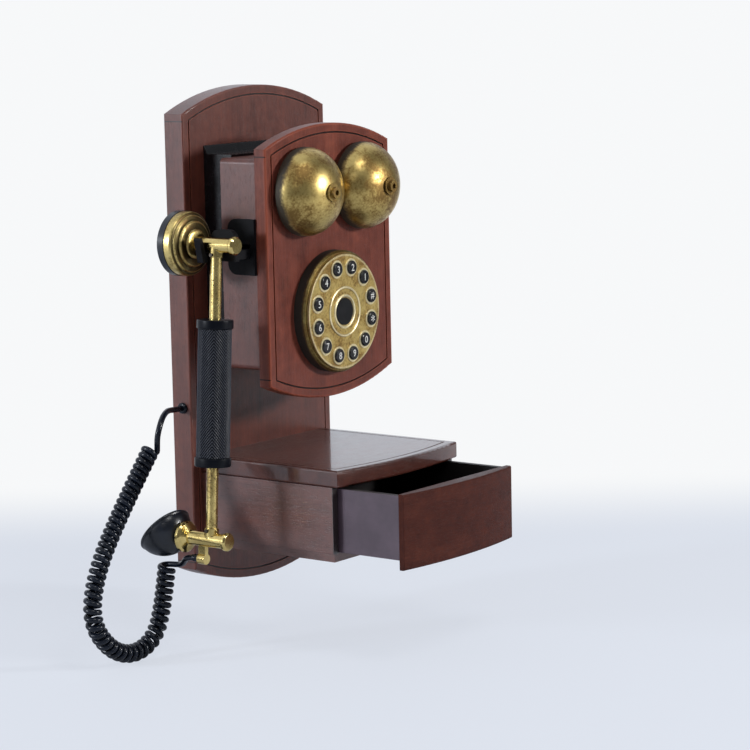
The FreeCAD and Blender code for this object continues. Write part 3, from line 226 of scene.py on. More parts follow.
sleeve = {
    "socket": (-0.1146, -0.0562, -0.13679),
    "end": (-0.1146, -0.0460, -0.13679),
    # outline and ribs in millimetres
    "outline": [(1.6, 0), (2.6, 0), (2.6, 7.6), (2.15, 10.2), (1.6, 10.2)],
    "ribs": [5.0, 6.4, 7.8],
    "ribDepth": 0.35 * mm,
    "ribHalf": 0.4 * mm,
    "round": 0.5 * mm,
    "rows": 24,
    "steps": 32,
}


def curlPoints():
    # helix points about the axis, spaced wider where the axis bends
    axis = lineOf(cord["curl"], cord["axisSteps"])
    runs = [b - a for a, b in zip(axis, axis[1:])]
    shares = []
    for k, run in enumerate(runs):
        ahead = runs[min(k + 1, len(runs) - 1)]
        bend = run.angle(ahead, 0) / run.length
        shares.append(run.length / (1 + cord["curlRadius"] * bend))
    total = sum(shares)
    count = round(cord["curls"] * cord["pointsPerCurl"])
    reach = cord["curlRadius"] / math.cos(math.pi / cord["pointsPerCurl"])
    points = []
    passed = 0
    index = 0
    for k in range(count + 1):
        wanted = total * k / count
        while index < len(runs) - 1 and passed + shares[index] < wanted:
            passed += shares[index]
            index += 1
        along = runs[index].normalized()
        centre = axis[index] + runs[index] * ((wanted - passed) / shares[index])
        side = Vector((-along.z, 0, along.x)).normalized()
        across = side.cross(along)
        angle = math.radians(cord["startTurn"]) + 2 * math.pi * cord["curls"] * k / count
        points.append(centre + (side * math.cos(angle) + across * math.sin(angle)) * reach)
    return points


def sleeveRibs(angle, height):
    cut = 0
    for middle in sleeve["ribs"]:
        share = abs(height - middle * mm) / sleeve["ribHalf"]
        cut += sleeve["ribDepth"] * max(0, 1 - share * share)
    return cut


def makeSleeve():
    outline = softened([(r * mm, h * mm) for r, h in sleeve["outline"]], sleeve["round"])
    wall = outline[-2][1] - outline[1][1]
    fine = []
    for start, end in zip(outline, outline[1:]):
        count = max(1, round(sleeve["rows"] * abs(end[1] - start[1]) / wall))
        for k in range(count):
            t = k / count
            fine.append((start[0] + (end[0] - start[0]) * t, start[1] + (end[1] - start[1]) * t))
    fine.append(outline[-1])
    place = axisPlace(sleeve["socket"], sleeve["end"])
    return addPiece("cordSleeve", turned(fine, place, sleeve["steps"], sleeveRibs), "handset")


def makeCord():
    points = cord["lead"] + curlPoints() + cord["tail"]
    path = lineOf(points, cord["pathSteps"])
    print("cord length", round(lengthOf(path), 4))
    piece = addPiece("cord", nurbsCurve(points, cord["tubeRadius"], cord["tubeSteps"]), None)
    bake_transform(piece)
    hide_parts("cord_lead", "curly_cord", "cord_tail")
    return piece


sleevePiece = makeSleeve()
cordPiece = makeCord()
print("cord made")


# Grip with a chevron knurl

grip = {
    "low": (-0.110219, -0.0625, -0.074143),
    "top": (-0.103418, -0.0625, 0.023119),
    "bore": 4.0 * mm,
    "radius": 11.3 * mm,
    "collar": 12.2 * mm,
    "collarWide": 6.0 * mm,
    "chevrons": 4,
    "startTurn": 8,
    "slope": 1.25,
    "pitch": 2.2 * mm,
    "depth": 0.7 * mm,
    "round": 0.9 * mm,
    "margin": 0.1 * mm,
    "rows": 320,
    "steps": 240,
    "sharp": 50,
}


def gripLength():
    return (Vector(grip["top"]) - Vector(grip["low"])).length


def chevronRise():
    # height that a stripe would climb over one whole chevron
    return 2 * math.pi * grip["radius"] / grip["chevrons"] * grip["slope"]


def knurl(angle, height):
    # how deep the knurl is cut at a point of the grip
    inside = min(height, gripLength() - height) - grip["collarWide"]
    if inside < grip["margin"]:
        return 0
    across = (angle + math.radians(grip["startTurn"])) * grip["chevrons"] / (2 * math.pi) % 1
    share = (height + abs(across - 0.5) * chevronRise()) / grip["pitch"] % 1
    return grip["depth"] * (1 - abs(2 * share - 1))


def makeGrip():
    length = gripLength()
    wide = grip["collarWide"]
    low = [(grip["bore"], 0), (grip["collar"], 0), (grip["collar"], wide)]
    low.append((grip["radius"] - grip["depth"], wide))
    low = softened(low, grip["round"])
    top = [(radius, length - height) for radius, height in reversed(low)]
    tread = length - 2 * wide
    rows = [(grip["radius"], wide + tread * (k + 0.5) / grip["rows"]) for k in range(grip["rows"])]
    mesh = turned(low + rows + top, axisPlace(grip["low"], grip["top"]), grip["steps"], knurl)
    piece = addPiece("knurledGrip", mesh, "handset", grip["sharp"])
    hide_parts("grip")
    return piece


gripPiece = makeGrip()


# Earpiece shell of rolled rings

ear = {
    "front": (-0.100, -0.0465, 0.072),
    "back": (-0.100, -0.0347, 0.072),
    # radius, start and end of each ring, then groove, chamfer and bore, in millimetres
    "rings": [(10.0, 0.0, 1.8), (15.5, 1.8, 3.6), (19.2, 3.6, 5.5), (21.5, 5.5, 11.8)],
    "groove": 0.7,
    "chamfer": 0.3,
    "bore": 4.0,
    "squareness": 0.75,
    "rollSteps": 8,
    "steps": 128,
    "sharp": 60,
    # dark band in the ring grooves: tarnish together with painted shade
    "tarnishAndShadeFade": (0.30 * mm, 0.65 * mm),
    "tarnishAndShade": 0.9,
}


def makeEarShell():
    outline = [(ear["bore"], 0)]
    inner = ear["bore"]
    for radius, start, end in ear["rings"]:
        # each ring rolls over from its front face to its side, with a groove behind it
        roll = min(radius - inner, end - start)
        for k in range(ear["rollSteps"] + 1):
            turn = math.pi / 2 * k / ear["rollSteps"]
            across = math.sin(turn) ** ear["squareness"]
            along = 1 - math.cos(turn) ** ear["squareness"]
            outline.append((inner + (radius - inner) * across, start + roll * along))
        outline += [(radius, end - ear["chamfer"]), (radius - ear["groove"], end)]
        inner = radius - ear["groove"]
    outline.append((ear["bore"], ear["rings"][-1][2]))
    place = axisPlace(ear["front"], ear["back"])
    mesh = turned([(r * mm, h * mm) for r, h in outline], place, ear["steps"])
    piece = addPiece("earShell", mesh, "handset", ear["sharp"])
    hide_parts("ear_shell")
    return piece


earPiece = makeEarShell()


# Mouthpiece bowl with a rolled lip

horn = {
    "rim": (-0.113477, -0.0210, -0.120729),
    "axis": (0.046, 0.755, 0.654),
    # lip points, then radius, start and end of each side of the bowl, in millimetres
    "lip": [
        (16.9, 0.6), (17.3, -0.5), (18.1, -0.8), (18.9, -0.6),
        (19.3, 0.1), (19.1, 1.1), (18.5, 1.6),
    ],
    "outer": (18.5, 1.8, 18.6),
    "inner": (16.7, 1.8, 16.6),
    "curve": 1.7,
    "rows": 24,
    "steps": 128,
    "sharp": 60,
}


def bowlSide(radius, start, end):
    # a side that falls steeply at the rim and rounds over at the bottom
    points = []
    for k in range(horn["rows"]):
        t = math.sin(math.pi / 2 * k / horn["rows"])
        across = radius * (1 - t ** horn["curve"]) ** (1 / horn["curve"])
        points.append((across, start + (end - start) * t))
    return points


def makeHorn():
    inner = bowlSide(*horn["inner"])
    outline = list(reversed(inner)) + horn["lip"] + bowlSide(*horn["outer"])
    rim = Vector(horn["rim"])
    place = axisPlace(rim, rim - Vector(horn["axis"]))
    mesh = turned([(r * mm, h * mm) for r, h in outline], place, horn["steps"])
    piece = addPiece("mouthHorn", mesh, "handset", horn["sharp"])
    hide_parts("mouth_horn")
    return piece


hornPiece = makeHorn()
print("handset pieces made")


# Shader helpers

class Wire:
    # a socket that takes part in sums
    def __init__(self, finish, socket):
        self.finish = finish
        self.socket = socket

    def __add__(self, other):
        return self.finish.sum("ADD", self, other)

    def __sub__(self, other):
        return self.finish.sum("SUBTRACT", self, other)

    def __rsub__(self, other):
        return self.finish.sum("SUBTRACT", other, self)

    def __mul__(self, other):
        return self.finish.sum("MULTIPLY", self, other)

    def __truediv__(self, other):
        return self.finish.sum("DIVIDE", self, other)

    def __rtruediv__(self, other):
        return self.finish.sum("DIVIDE", other, self)

    def __abs__(self):
        return self.finish.sum("ABSOLUTE", self)

    __radd__ = __add__
    __rmul__ = __mul__

    def step(self, start, end):
        # rises smoothly from 0 at start to 1 at end
        values = {"Value": self, "From Min": start, "From Max": end}
        return self.finish.node("ShaderNodeMapRange", {"interpolation_type": "SMOOTHSTEP"}, values)


class Nodes:
    # builds shader nodes in one tree
    def __init__(self, tree, coordinates):
        self.tree = tree
        self.place = self.node("ShaderNodeTexCoord", {}, {}, coordinates)

    def put(self, socket, value):
        if isinstance(value, Wire):
            self.tree.links.new(value.socket, socket)
        else:
            socket.default_value = value

    def node(self, kind, settings, values, output=0):
        made = self.tree.nodes.new(kind)
        for name, value in settings.items():
            setattr(made, name, value)
        for name, value in values.items():
            self.put(made.inputs[name], value)
        return Wire(self, made.outputs[output])

    def sum(self, operation, *values):
        return self.node("ShaderNodeMath", {"operation": operation}, dict(enumerate(values)))

    def mix(self, factor, first, second):
        values = {0: factor, 6: first, 7: second}
        return self.node("ShaderNodeMix", {"data_type": "RGBA"}, values, 2)

    def axis(self, letter):
        return self.node("ShaderNodeSeparateXYZ", {}, {0: self.place}, letter)

    def noise(self, scale, detail=3, rough=0.55):
        size = scale if isinstance(scale, tuple) else (scale, scale, scale)
        spread = {0: self.place, 1: size}
        where = self.node("ShaderNodeVectorMath", {"operation": "MULTIPLY"}, spread)
        values = {"Vector": where, "Scale": 1, "Detail": detail, "Roughness": rough}
        return self.node("ShaderNodeTexNoise", {}, values)

    def seen(self):
        # 1 on rays from the camera and on mirror and glass rays, otherwise 0
        rays = [self.node("ShaderNodeLightPath", {}, {}, name)
                for name in ("Is Camera Ray", "Is Glossy Ray", "Is Transmission Ray")]
        return self.sum("MAXIMUM", self.sum("MAXIMUM", rays[0], rays[1]), rays[2])


class Finish(Nodes):
    # one material on the pieces it covers
    def __init__(self, name, constants):
        self.material = bpy.data.materials.new(name)
        self.material.use_nodes = True
        super().__init__(self.material.node_tree, "Object")
        self.shader = self.tree.nodes["Principled BSDF"]
        self.feed(constants)

    def feed(self, values):
        for name, value in values.items():
            self.put(self.shader.inputs[name], value)

    def relief(self, height, depth, edge=0.4 * mm):
        rounded = self.node("ShaderNodeBevel", {"samples": 4}, {"Radius": edge})
        values = {"Strength": 1, "Distance": depth, "Height": height, "Normal": rounded}
        self.feed({"Normal": self.node("ShaderNodeBump", {}, values)})

    def cover(self, *things):
        for thing in things:
            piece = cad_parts[thing] if isinstance(thing, str) else thing
            piece.data.materials.clear()
            piece.data.materials.append(self.material)


def shaded(colour, level):
    return tuple(part * level for part in colour[:3]) + (1,)


# Wood

woodLook = {
    "deep": (0.070, 0.019, 0.013, 1),
    "middle": (0.136, 0.035, 0.023, 1),
    "warm": (0.215, 0.056, 0.033, 1),
    "pore": (0.024, 0.009, 0.007, 1),
    # edge: lighter red for worn edges with painted highlight, and for the painted highlight beside the
    # groove
    "edge": (0.270, 0.064, 0.034, 1),
    # groove: near black for painted shade in the grooves and on the case's front end, and for the dark
    # seams
    "groove": (0.012, 0.005, 0.004, 1),
    "figure": (60, 8),
    "streak": (900, 26),
    "pores": (2600, 190),
    "mottle": 130,
    "middleTone": (0.30, 0.52),
    "warmTone": (0.46, 0.70),
    "poreTone": (0.56, 0.72),
    "poreDark": 0.35,
    "poreDull": 0.5,
    "toneShares": (0.42, 0.33, 0.25),
    "rough": 0.20,
    "streakRough": 0.16,
    "mottleRough": 0.14,
    "streakHigh": 0.6,
    "poreDeep": 0.5,
    "relief": 0.12 * mm,
    "edgeRound": 0.6 * mm,
}
panelLook = {
    "frontFade": (1.0 * mm, 2.4 * mm),
    # outer edge painted lighter, as wear together with painted highlight
    "wornLitWide": 2.0 * mm,
    "wornLitFade": (0, 1.2 * mm),
    "wornLitLow": 0.35,
    "wornLitFigure": 0.8,
    # lit: painted highlight beside the groove
    "litFade": (0.9 * mm, 1.4 * mm),
    "litShare": 0.45,
    # groove painted near black as shade
    "grooveShadeFade": (0.4 * mm, 0.7 * mm),
    "seamFade": (0.2 * mm, 0.6 * mm),
    "sideFade": (-0.6 * mm, -0.4 * mm),
}
boardPanel = {
    "node": "back_board",
    "half": 77 * mm,
    "side": 156 * mm,
    "rise": 16.7 * mm,
    "middle": 0,
    "groove": 6.35 * mm,
    "seam": 151 * mm,
    # wear: how strongly the outer edge is painted lighter, as wear and painted highlight
    "wear": 0.25,
}
platePanel = {
    "node": "front_plate",
    "half": 68.3 * mm,
    "side": 79.5 * mm,
    "rise": 14.2 * mm,
    "middle": 53.5 * mm,
    "groove": 6.35 * mm,
    "seam": 74.5 * mm,
    # wear: how strongly the outer edge is painted lighter, as wear and painted highlight
    "wear": 1.0,
}
# front end faces of the case sides, painted near black as shade
caseEdgeShade = {"start": -129.2 * mm, "end": -129.6 * mm}


def grainScale(along, across, lengthwise):
    # noise sizes for grain along X, Y or Z
    scale = [across, across, across]
    scale["XYZ".index(along)] = lengthwise
    return tuple(scale)


def panelBorder(f, panel):
    # distance in from the outline of a panel with arched ends
    half, side, rise = panel["half"], panel["side"], panel["rise"]
    radius = (half ** 2 + rise ** 2) / (2 * rise)
    x = f.axis("X")
    z = abs(f.axis("Z") - panel["middle"]) - (side + rise - radius)
    ends = radius - f.sum("SQRT", x * x + z * z)
    return f.sum("MINIMUM", half - abs(x), ends)


def panelLines(f, panel, colour, figure):
    # outer edge painted lighter as wear and painted highlight, painted highlight beside the groove, groove
    # painted near black as shade, and the dark seams on the sides of a panel
    border = panelBorder(f, panel)
    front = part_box(panel["node"])[0].y
    nearFront = 1 - (f.axis("Y") - front).step(*panelLook["frontFade"])
    # outer edge painted lighter: wear together with painted highlight
    wornLitEdge = (panelLook["wornLitWide"] - border).step(*panelLook["wornLitFade"]) * nearFront
    wornLitEdge = wornLitEdge * (panelLook["wornLitLow"] + figure * panelLook["wornLitFigure"])
    colour = f.mix(wornLitEdge * panel["wear"], colour, woodLook["edge"])
    near = abs(border - panel["groove"])
    # painted highlight on both sides of the groove
    lit = (1 - near.step(*panelLook["litFade"])) * nearFront
    colour = f.mix(lit * panelLook["litShare"], colour, woodLook["edge"])
    # groove painted near black as shade
    cut = (1 - near.step(*panelLook["grooveShadeFade"])) * nearFront
    colour = f.mix(cut, colour, woodLook["groove"])
    fromSeam = abs(abs(f.axis("Z") - panel["middle"]) - panel["seam"])
    onSide = (abs(f.axis("X")) - panel["half"]).step(*panelLook["sideFade"])
    seam = (1 - fromSeam.step(*panelLook["seamFade"])) * onSide
    return f.mix(seam, colour, woodLook["groove"])


def makeWood(name, along, level, coat, panel=None, specular=0.35, shadedEdge=None, coatRough=0.38):
    f = Finish(name, {"Coat Roughness": coatRough, "Specular IOR Level": specular})
    figure = f.noise(grainScale(along, *woodLook["figure"]), detail=5, rough=0.6)
    streak = f.noise(grainScale(along, *woodLook["streak"]), detail=4, rough=0.65)
    pores = f.noise(grainScale(along, *woodLook["pores"]), detail=2, rough=0.5)
    mottle = f.noise(woodLook["mottle"], detail=5, rough=0.6)
    shares = woodLook["toneShares"]
    tone = figure * shares[0] + mottle * shares[1] + streak * shares[2]
    deep, middle, warm = [shaded(woodLook[part], level) for part in ("deep", "middle", "warm")]
    colour = f.mix(tone.step(*woodLook["middleTone"]), deep, middle)
    colour = f.mix(tone.step(*woodLook["warmTone"]), colour, warm)
    pore = pores.step(*woodLook["poreTone"])
    colour = f.mix(pore * woodLook["poreDark"], colour, woodLook["pore"])
    if panel:
        colour = panelLines(f, panel, colour, figure)
    if shadedEdge:
        # front end of the case sides painted near black as shade
        behind = f.axis("Y").step(shadedEdge["end"], shadedEdge["start"])
        colour = f.mix(behind, woodLook["groove"], colour)
    rough = woodLook["rough"] + streak * woodLook["streakRough"] + mottle * woodLook["mottleRough"]
    gloss = coat - pore * coat * woodLook["poreDull"]
    f.feed({"Base Color": colour, "Roughness": rough, "Coat Weight": gloss})
    height = streak * woodLook["streakHigh"] - pore * woodLook["poreDeep"]
    f.relief(height, woodLook["relief"], woodLook["edgeRound"])
    return f


boardWood = makeWood("boardWood", along="Z", level=0.85, coat=0.45, panel=boardPanel)
boardWood.cover("back_board")
plateWood = makeWood("plateWood", along="Z", level=1.12, coat=0.1, panel=platePanel, specular=0.18)
plateWood.cover("front_plate")
makeWood("boxWood", along="Z", level=0.75, coat=0.5).cover("box_frame", "rear_cover")
# shelf made from a darker copy of the wood: its own darker tone together with painted shade
makeWood("shelfWood", along="X", level=0.52, coat=0.9, coatRough=0.08).cover("shelf")
caseWood = makeWood("caseWood", along="Y", level=0.75, coat=1.0, specular=0.5, shadedEdge=caseEdgeShade)
caseWood.cover("case_side_left", "case_side_right", "case_base")
# drawer front made from a darker copy of the wood, as painted shade on the lower front
makeWood("drawerWood", along="X", level=0.42, coat=0.0, specular=0.08).cover("drawer_front")


drawerStainAndShade = {
    "low": (0.062, 0.038, 0.054, 1),
    "high": (0.090, 0.058, 0.078, 1),
    # near-black colours below: painted shade on the drawer's inside faces
    "inside": (0.008, 0.006, 0.006, 1),
    "innerShadeLow": (0.004, 0.003, 0.003, 1),
    "innerShadeHigh": (0.010, 0.007, 0.007, 1),
    "outerFade": (-0.6 * mm, -0.3 * mm),
    "specular": 0.4,
    "coatRough": 0.2,
    "broad": 45,
    "broadTone": (0.3, 0.7),
    "fine": (1500, 120),
    "fineTone": (0.55, 0.75),
    "fineShare": 0.35,
    "dull": 0.3,
    "rough": 0.42,
    "fineRough": 0.2,
    "relief": 0.03 * mm,
}


def makeStainAndShade(name, low, high, coat, inside=None):
    # smooth stained board of the drawer, with the inside faces painted near black as shade
    constants = {"Specular IOR Level": drawerStainAndShade["specular"], "Coat Roughness": drawerStainAndShade["coatRough"]}
    f = Finish(name, constants)
    broad = f.noise(drawerStainAndShade["broad"])
    fine = f.noise(grainScale("Y", *drawerStainAndShade["fine"]))
    colour = f.mix(broad.step(*drawerStainAndShade["broadTone"]), low, high)
    flecks = fine.step(*drawerStainAndShade["fineTone"]) * drawerStainAndShade["fineShare"]
    colour = f.mix(flecks, colour, low)
    gloss = coat - fine * coat * drawerStainAndShade["dull"]
    rough = drawerStainAndShade["rough"] + fine * drawerStainAndShade["fineRough"]
    # inside faces painted near black as shade
    if inside:
        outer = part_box("drawer_side_right")[1].x
        onOuter = (abs(f.axis("X")) - outer).step(*drawerStainAndShade["outerFade"])
        colour = f.mix(onOuter, inside, colour)
        gloss = gloss * onOuter
    f.feed({"Base Color": colour, "Roughness": rough, "Coat Weight": gloss})
    f.relief(fine, drawerStainAndShade["relief"])
    return f


# outer faces of the drawer sides stained, inner faces painted near black as shade
sideStainAndShade = makeStainAndShade("drawerSideStainAndShade", drawerStainAndShade["low"], drawerStainAndShade["high"], coat=0.5,
                      inside=drawerStainAndShade["inside"])
sideStainAndShade.cover("drawer_side_left", "drawer_side_right")
# back and bottom of the drawer painted near black as shade
innerShade = makeStainAndShade("drawerInnerShade", drawerStainAndShade["innerShadeLow"], drawerStainAndShade["innerShadeHigh"], coat=0.05)
innerShade.cover("drawer_back", "drawer_bottom")
print("wood made")


# Brass

brassLook = {
    "polished": (0.74, 0.58, 0.23, 1),
    "bright": (0.54, 0.41, 0.150, 1),
    "gold": (0.34, 0.225, 0.070, 1),
    "brown": (0.135, 0.074, 0.026, 1),
    "dark": (0.016, 0.012, 0.008, 1),
    # cream: pale colour painted on the dial's collars, beads and rim, as wear and painted highlight
    "highlightCream": (0.86, 0.76, 0.48, 1),
    "cloud": 70,
    "fleck": 600,
    "brush": (900, 900, 30),
    "cloudShare": 0.65,
    "tone": (0.36, 0.60),
    "stainFade": 0.16,
    "spotFade": 0.1,
    "stainShare": 0.75,
    "spotShare": 0.75,
    "spotMetal": 0.5,
    "stainRough": 0.16,
    "brushRough": 0.10,
    "bareRough": 0.35,
    "cloudHigh": 0.7,
    "brushHigh": 0.3,
    "spotDeep": 0.4,
    "relief": 0.04 * mm,
}


def makeBrass(name, light, wear, spots, rough, edges=None, level=1.0):
    # light and dark brass clouds, brown stain above wear, dark flecks above spots
    f = Finish(name, {"Metallic": 1})
    cloud = f.noise(brassLook["cloud"], detail=6)
    fleck = f.noise(brassLook["fleck"], detail=4, rough=0.6)
    brush = f.noise(brassLook["brush"])
    blotch = cloud * brassLook["cloudShare"] + fleck * (1 - brassLook["cloudShare"])
    clean = shaded(brassLook[light], level)
    deeper = shaded(brassLook["bright" if light == "polished" else "gold"], level)
    colour = f.mix(blotch.step(*brassLook["tone"]), clean, deeper)
    stain = blotch.step(wear, wear + brassLook["stainFade"])
    spot = fleck.step(spots, spots + brassLook["spotFade"])
    metal = 1 - spot * brassLook["spotMetal"]
    if edges:
        colour, stain, metal = edges(f, colour, stain, metal, cloud, fleck)
    rough = rough + stain * brassLook["stainRough"] + brush * brassLook["brushRough"]
    rough = rough + (1 - metal) * brassLook["bareRough"]
    colour = f.mix(stain * brassLook["stainShare"], colour, brassLook["brown"])
    colour = f.mix(spot * brassLook["spotShare"], colour, brassLook["dark"])
    f.feed({"Base Color": colour, "Roughness": rough, "Metallic": metal})
    height = cloud * brassLook["cloudHigh"] + brush * brassLook["brushHigh"] - spot * brassLook["spotDeep"]
    f.relief(height, brassLook["relief"])
    return f


bellBand = {
    "dark": 4.0 * mm,
    "clear": 8.5 * mm,
    "ragged": 10.0 * mm,
    "cloudShare": 0.6,
    "share": 0.96,
    "bare": 0.95,
}


def bellRim(f, colour, stain, metal, cloud, fleck):
    # dark ragged band round the mouth of each bell
    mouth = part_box("bell_left")[1].y
    blotch = cloud * bellBand["cloudShare"] + fleck * (1 - bellBand["cloudShare"])
    out = mouth - f.axis("Y") - (blotch - 0.5) * bellBand["ragged"]
    band = 1 - out.step(bellBand["dark"], bellBand["clear"])
    colour = f.mix(band * bellBand["share"], colour, brassLook["dark"])
    return colour, stain * (1 - band), metal - band * bellBand["bare"]


dial = {
    "height": 18.8 * mm,
    "keyRing": 30.6 * mm,
    "keys": 12,
    "collar": 6.25 * mm,
    "beads": [(10.9 * mm, 1.3 * mm), (16.6 * mm, 1.0 * mm)],
    "edge": 37.6 * mm,
    "edgeFade": 0.8 * mm,
    "edgeShare": 0.6,
    "collarFade": 0.2 * mm,
    "beadCore": 0.6,
    # strength of the pale cream: wear together with painted highlight
    "wornHighlight": 1.15,
    "fleckPale": 0.5,
    "clean": 0.85,
    "goldSide": -88.4 * mm,
    "blackSide": -85.2 * mm,
    "ragged": 3 * mm,
    "bare": 0.95,
}


def dialRings(f, colour, stain, metal, cloud, fleck):
    # collars, beads and rim on the dial's face painted pale cream, as wear together with painted highlight
    x = f.axis("X")
    z = f.axis("Z") - dial["height"]
    out = f.sum("SQRT", x * x + z * z)
    part = 2 * math.pi / dial["keys"]
    turn = f.sum("ARCTAN2", z, x) / part - 0.5
    fold = (turn - f.sum("ROUND", turn)) * part
    across = out * f.sum("COSINE", fold) - dial["keyRing"]
    along = out * f.sum("SINE", fold)
    gap = f.sum("SQRT", across * across + along * along)
    wornHighlight = 1 - gap.step(dial["collar"] - dial["collarFade"], dial["collar"] + dial["collarFade"])
    for place, half in dial["beads"]:
        wornHighlight = f.sum("MAXIMUM", wornHighlight, 1 - abs(out - place).step(half * dial["beadCore"], half))
    # rim painted pale as wear and painted highlight
    rim = out.step(dial["edge"], dial["edge"] + dial["edgeFade"])
    wornHighlight = f.sum("MAXIMUM", wornHighlight, rim * dial["edgeShare"])
    wornHighlight = wornHighlight * (dial["wornHighlight"] - fleck * dial["fleckPale"])
    return f.mix(wornHighlight, colour, brassLook["highlightCream"]), stain * (1 - wornHighlight * dial["clean"]), metal


def earGrooves(f, colour, stain, metal, cloud, fleck):
    # tarnish left in the grooves between the rings, darkened further as painted shade
    along = f.axis("Y") - ear["front"][1]
    # grooves painted darker, as tarnish and painted shade
    tarnishAndShade = 0
    for radius, start, end in ear["rings"][1:]:
        tarnishAndShade = tarnishAndShade + (1 - abs(along - start * mm).step(*ear["tarnishAndShadeFade"]))
    return f.mix(tarnishAndShade * ear["tarnishAndShade"], colour, brassLook["dark"]), stain, metal


def dialSide(f, colour, stain, metal, cloud, fleck):
    # gilding that thins out to bare black down the dial's side
    down = f.axis("Y") + (fleck - 0.5) * dial["ragged"]
    bare = down.step(dial["goldSide"], dial["blackSide"])
    colour = f.mix(bare, colour, brassLook["dark"])
    return colour, stain * (1 - bare), metal - bare * dial["bare"]


teeBrass = makeBrass("teeBrass", "polished", wear=0.56, spots=0.68, rough=0.12)
teeBrass.cover("upper_tee", "lower_tee", "mouth_collar", "ear_shell")
makeBrass("stemBrass", "polished", wear=0.50, spots=0.56, rough=0.20).cover("stem")
earBrass = makeBrass("earBrass", "polished", wear=0.48, spots=0.62, rough=0.24, edges=earGrooves)
earBrass.cover(earPiece)
bellBrass = makeBrass("bellBrass", "bright", wear=0.46, spots=0.70, rough=0.28, edges=bellRim)
bellBrass.cover("bell_left", "bell_right")
makeBrass("boltBrass", "bright", wear=0.46, spots=0.66, rough=0.28).cover("bell_bolts")
dialBrass = makeBrass("dialBrass", "bright", wear=0.48, spots=0.64, rough=0.32,
                      edges=dialRings, level=1.15)
dialBrass.cover("dial_ring")
sideBrass = makeBrass("dialSideBrass", "bright", wear=0.46, spots=0.64, rough=0.34,
                      edges=dialSide, level=0.45)
sideBrass.cover("dial_base")


steelLook = {
    "cloud": 240,
    "tone": (0.35, 0.7),
    "dull": 0.55,
    "brush": (2500, 2500, 150),
    "rough": 0.25,
    "brushRough": 0.25,
    "relief": 0.02 * mm,
}


def makeSteel(name, base):
    f = Finish(name, {"Metallic": 1})
    cloud = f.noise(steelLook["cloud"], detail=4)
    brush = f.noise(steelLook["brush"])
    colour = f.mix(cloud.step(*steelLook["tone"]), (*base, 1), shaded(base, steelLook["dull"]))
    f.feed({"Base Color": colour, "Roughness": steelLook["rough"] + brush * steelLook["brushRough"]})
    f.relief(brush, steelLook["relief"])
    return f


makeSteel("screwSteel", (0.45, 0.44, 0.42)).cover("rear_screws", "hanger_plates", "hook_pin")
makeSteel("darkScrew", (0.06, 0.05, 0.04)).cover("tee_screws")
makeSteel("capsuleSteel", (0.55, 0.55, 0.56)).cover("ear_capsule", "mic_capsule", "hook_spring")
print("metal made")


# Black plastic and rubber

blackLook = {
    "broad": 120,
    "broadTone": (0.3, 0.75),
    "lift": 1.9,
    "fine": 1600,
    "broadRough": 0.10,
    "fineRough": 0.06,
}


def makeBlack(name, tone, rough, grain=0.01, specular=0.5):
    # grain is the height of the surface's relief in millimetres
    f = Finish(name, {"Specular IOR Level": specular})
    broad = f.noise(blackLook["broad"], detail=4)
    fine = f.noise(blackLook["fine"])
    colour = f.mix(broad.step(*blackLook["broadTone"]), (*tone, 1), shaded(tone, blackLook["lift"]))
    rough = rough + broad * blackLook["broadRough"] + fine * blackLook["fineRough"]
    f.feed({"Base Color": colour, "Roughness": rough})
    f.relief(fine, grain * mm)
    return f


gripLook = {
    "black": (0.003, 0.004, 0.007, 1),
    # grey of the knurl tops: wear and painted highlight
    "rubbedHighlight": (0.075, 0.080, 0.098, 1),
    "specular": 0.12,
    "ridge": (0.55, 0.95),
    "collarFade": (0, 0.4 * mm),
    "wear": 240,
    "ridgeGreyLow": 0.5,
    "rough": 0.26,
    "wearRough": 0.12,
    "relief": 0.01 * mm,
}


def makeGripBlack():
    # black rubber with the tops of the knurl painted grey, as wear together with painted highlight on the
    # ridges
    f = Finish("gripBlack", {"Specular IOR Level": gripLook["specular"]})
    base = Vector(grip["low"])
    turn = axisPlace(grip["low"], grip["top"]).to_3x3()
    local = f.node("ShaderNodeVectorMath", {"operation": "SUBTRACT"}, {0: f.place, 1: base})
    dot = {"operation": "DOT_PRODUCT"}
    x, y, height = [
        f.node("ShaderNodeVectorMath", dot, {0: local, 1: turn.col[k]}, "Value")
        for k in range(3)
    ]
    angle = f.sum("ARCTAN2", y, x) + math.radians(grip["startTurn"])
    across = f.sum("FRACT", angle * grip["chevrons"] / (2 * math.pi))
    share = f.sum("FRACT", (height + abs(across - 0.5) * chevronRise()) / grip["pitch"])
    inside = f.sum("MINIMUM", height, gripLength() - height) - grip["collarWide"]
    wear = f.noise(gripLook["wear"])
    # knurl ridges painted grey as wear and painted highlight
    ridge = abs(share * 2 - 1).step(*gripLook["ridge"]) * inside.step(*gripLook["collarFade"])
    colour = f.mix(ridge * (gripLook["ridgeGreyLow"] + wear), gripLook["black"], gripLook["rubbedHighlight"])
    f.feed({"Base Color": colour, "Roughness": gripLook["rough"] + wear * gripLook["wearRough"]})
    f.relief(wear, gripLook["relief"])
    return f


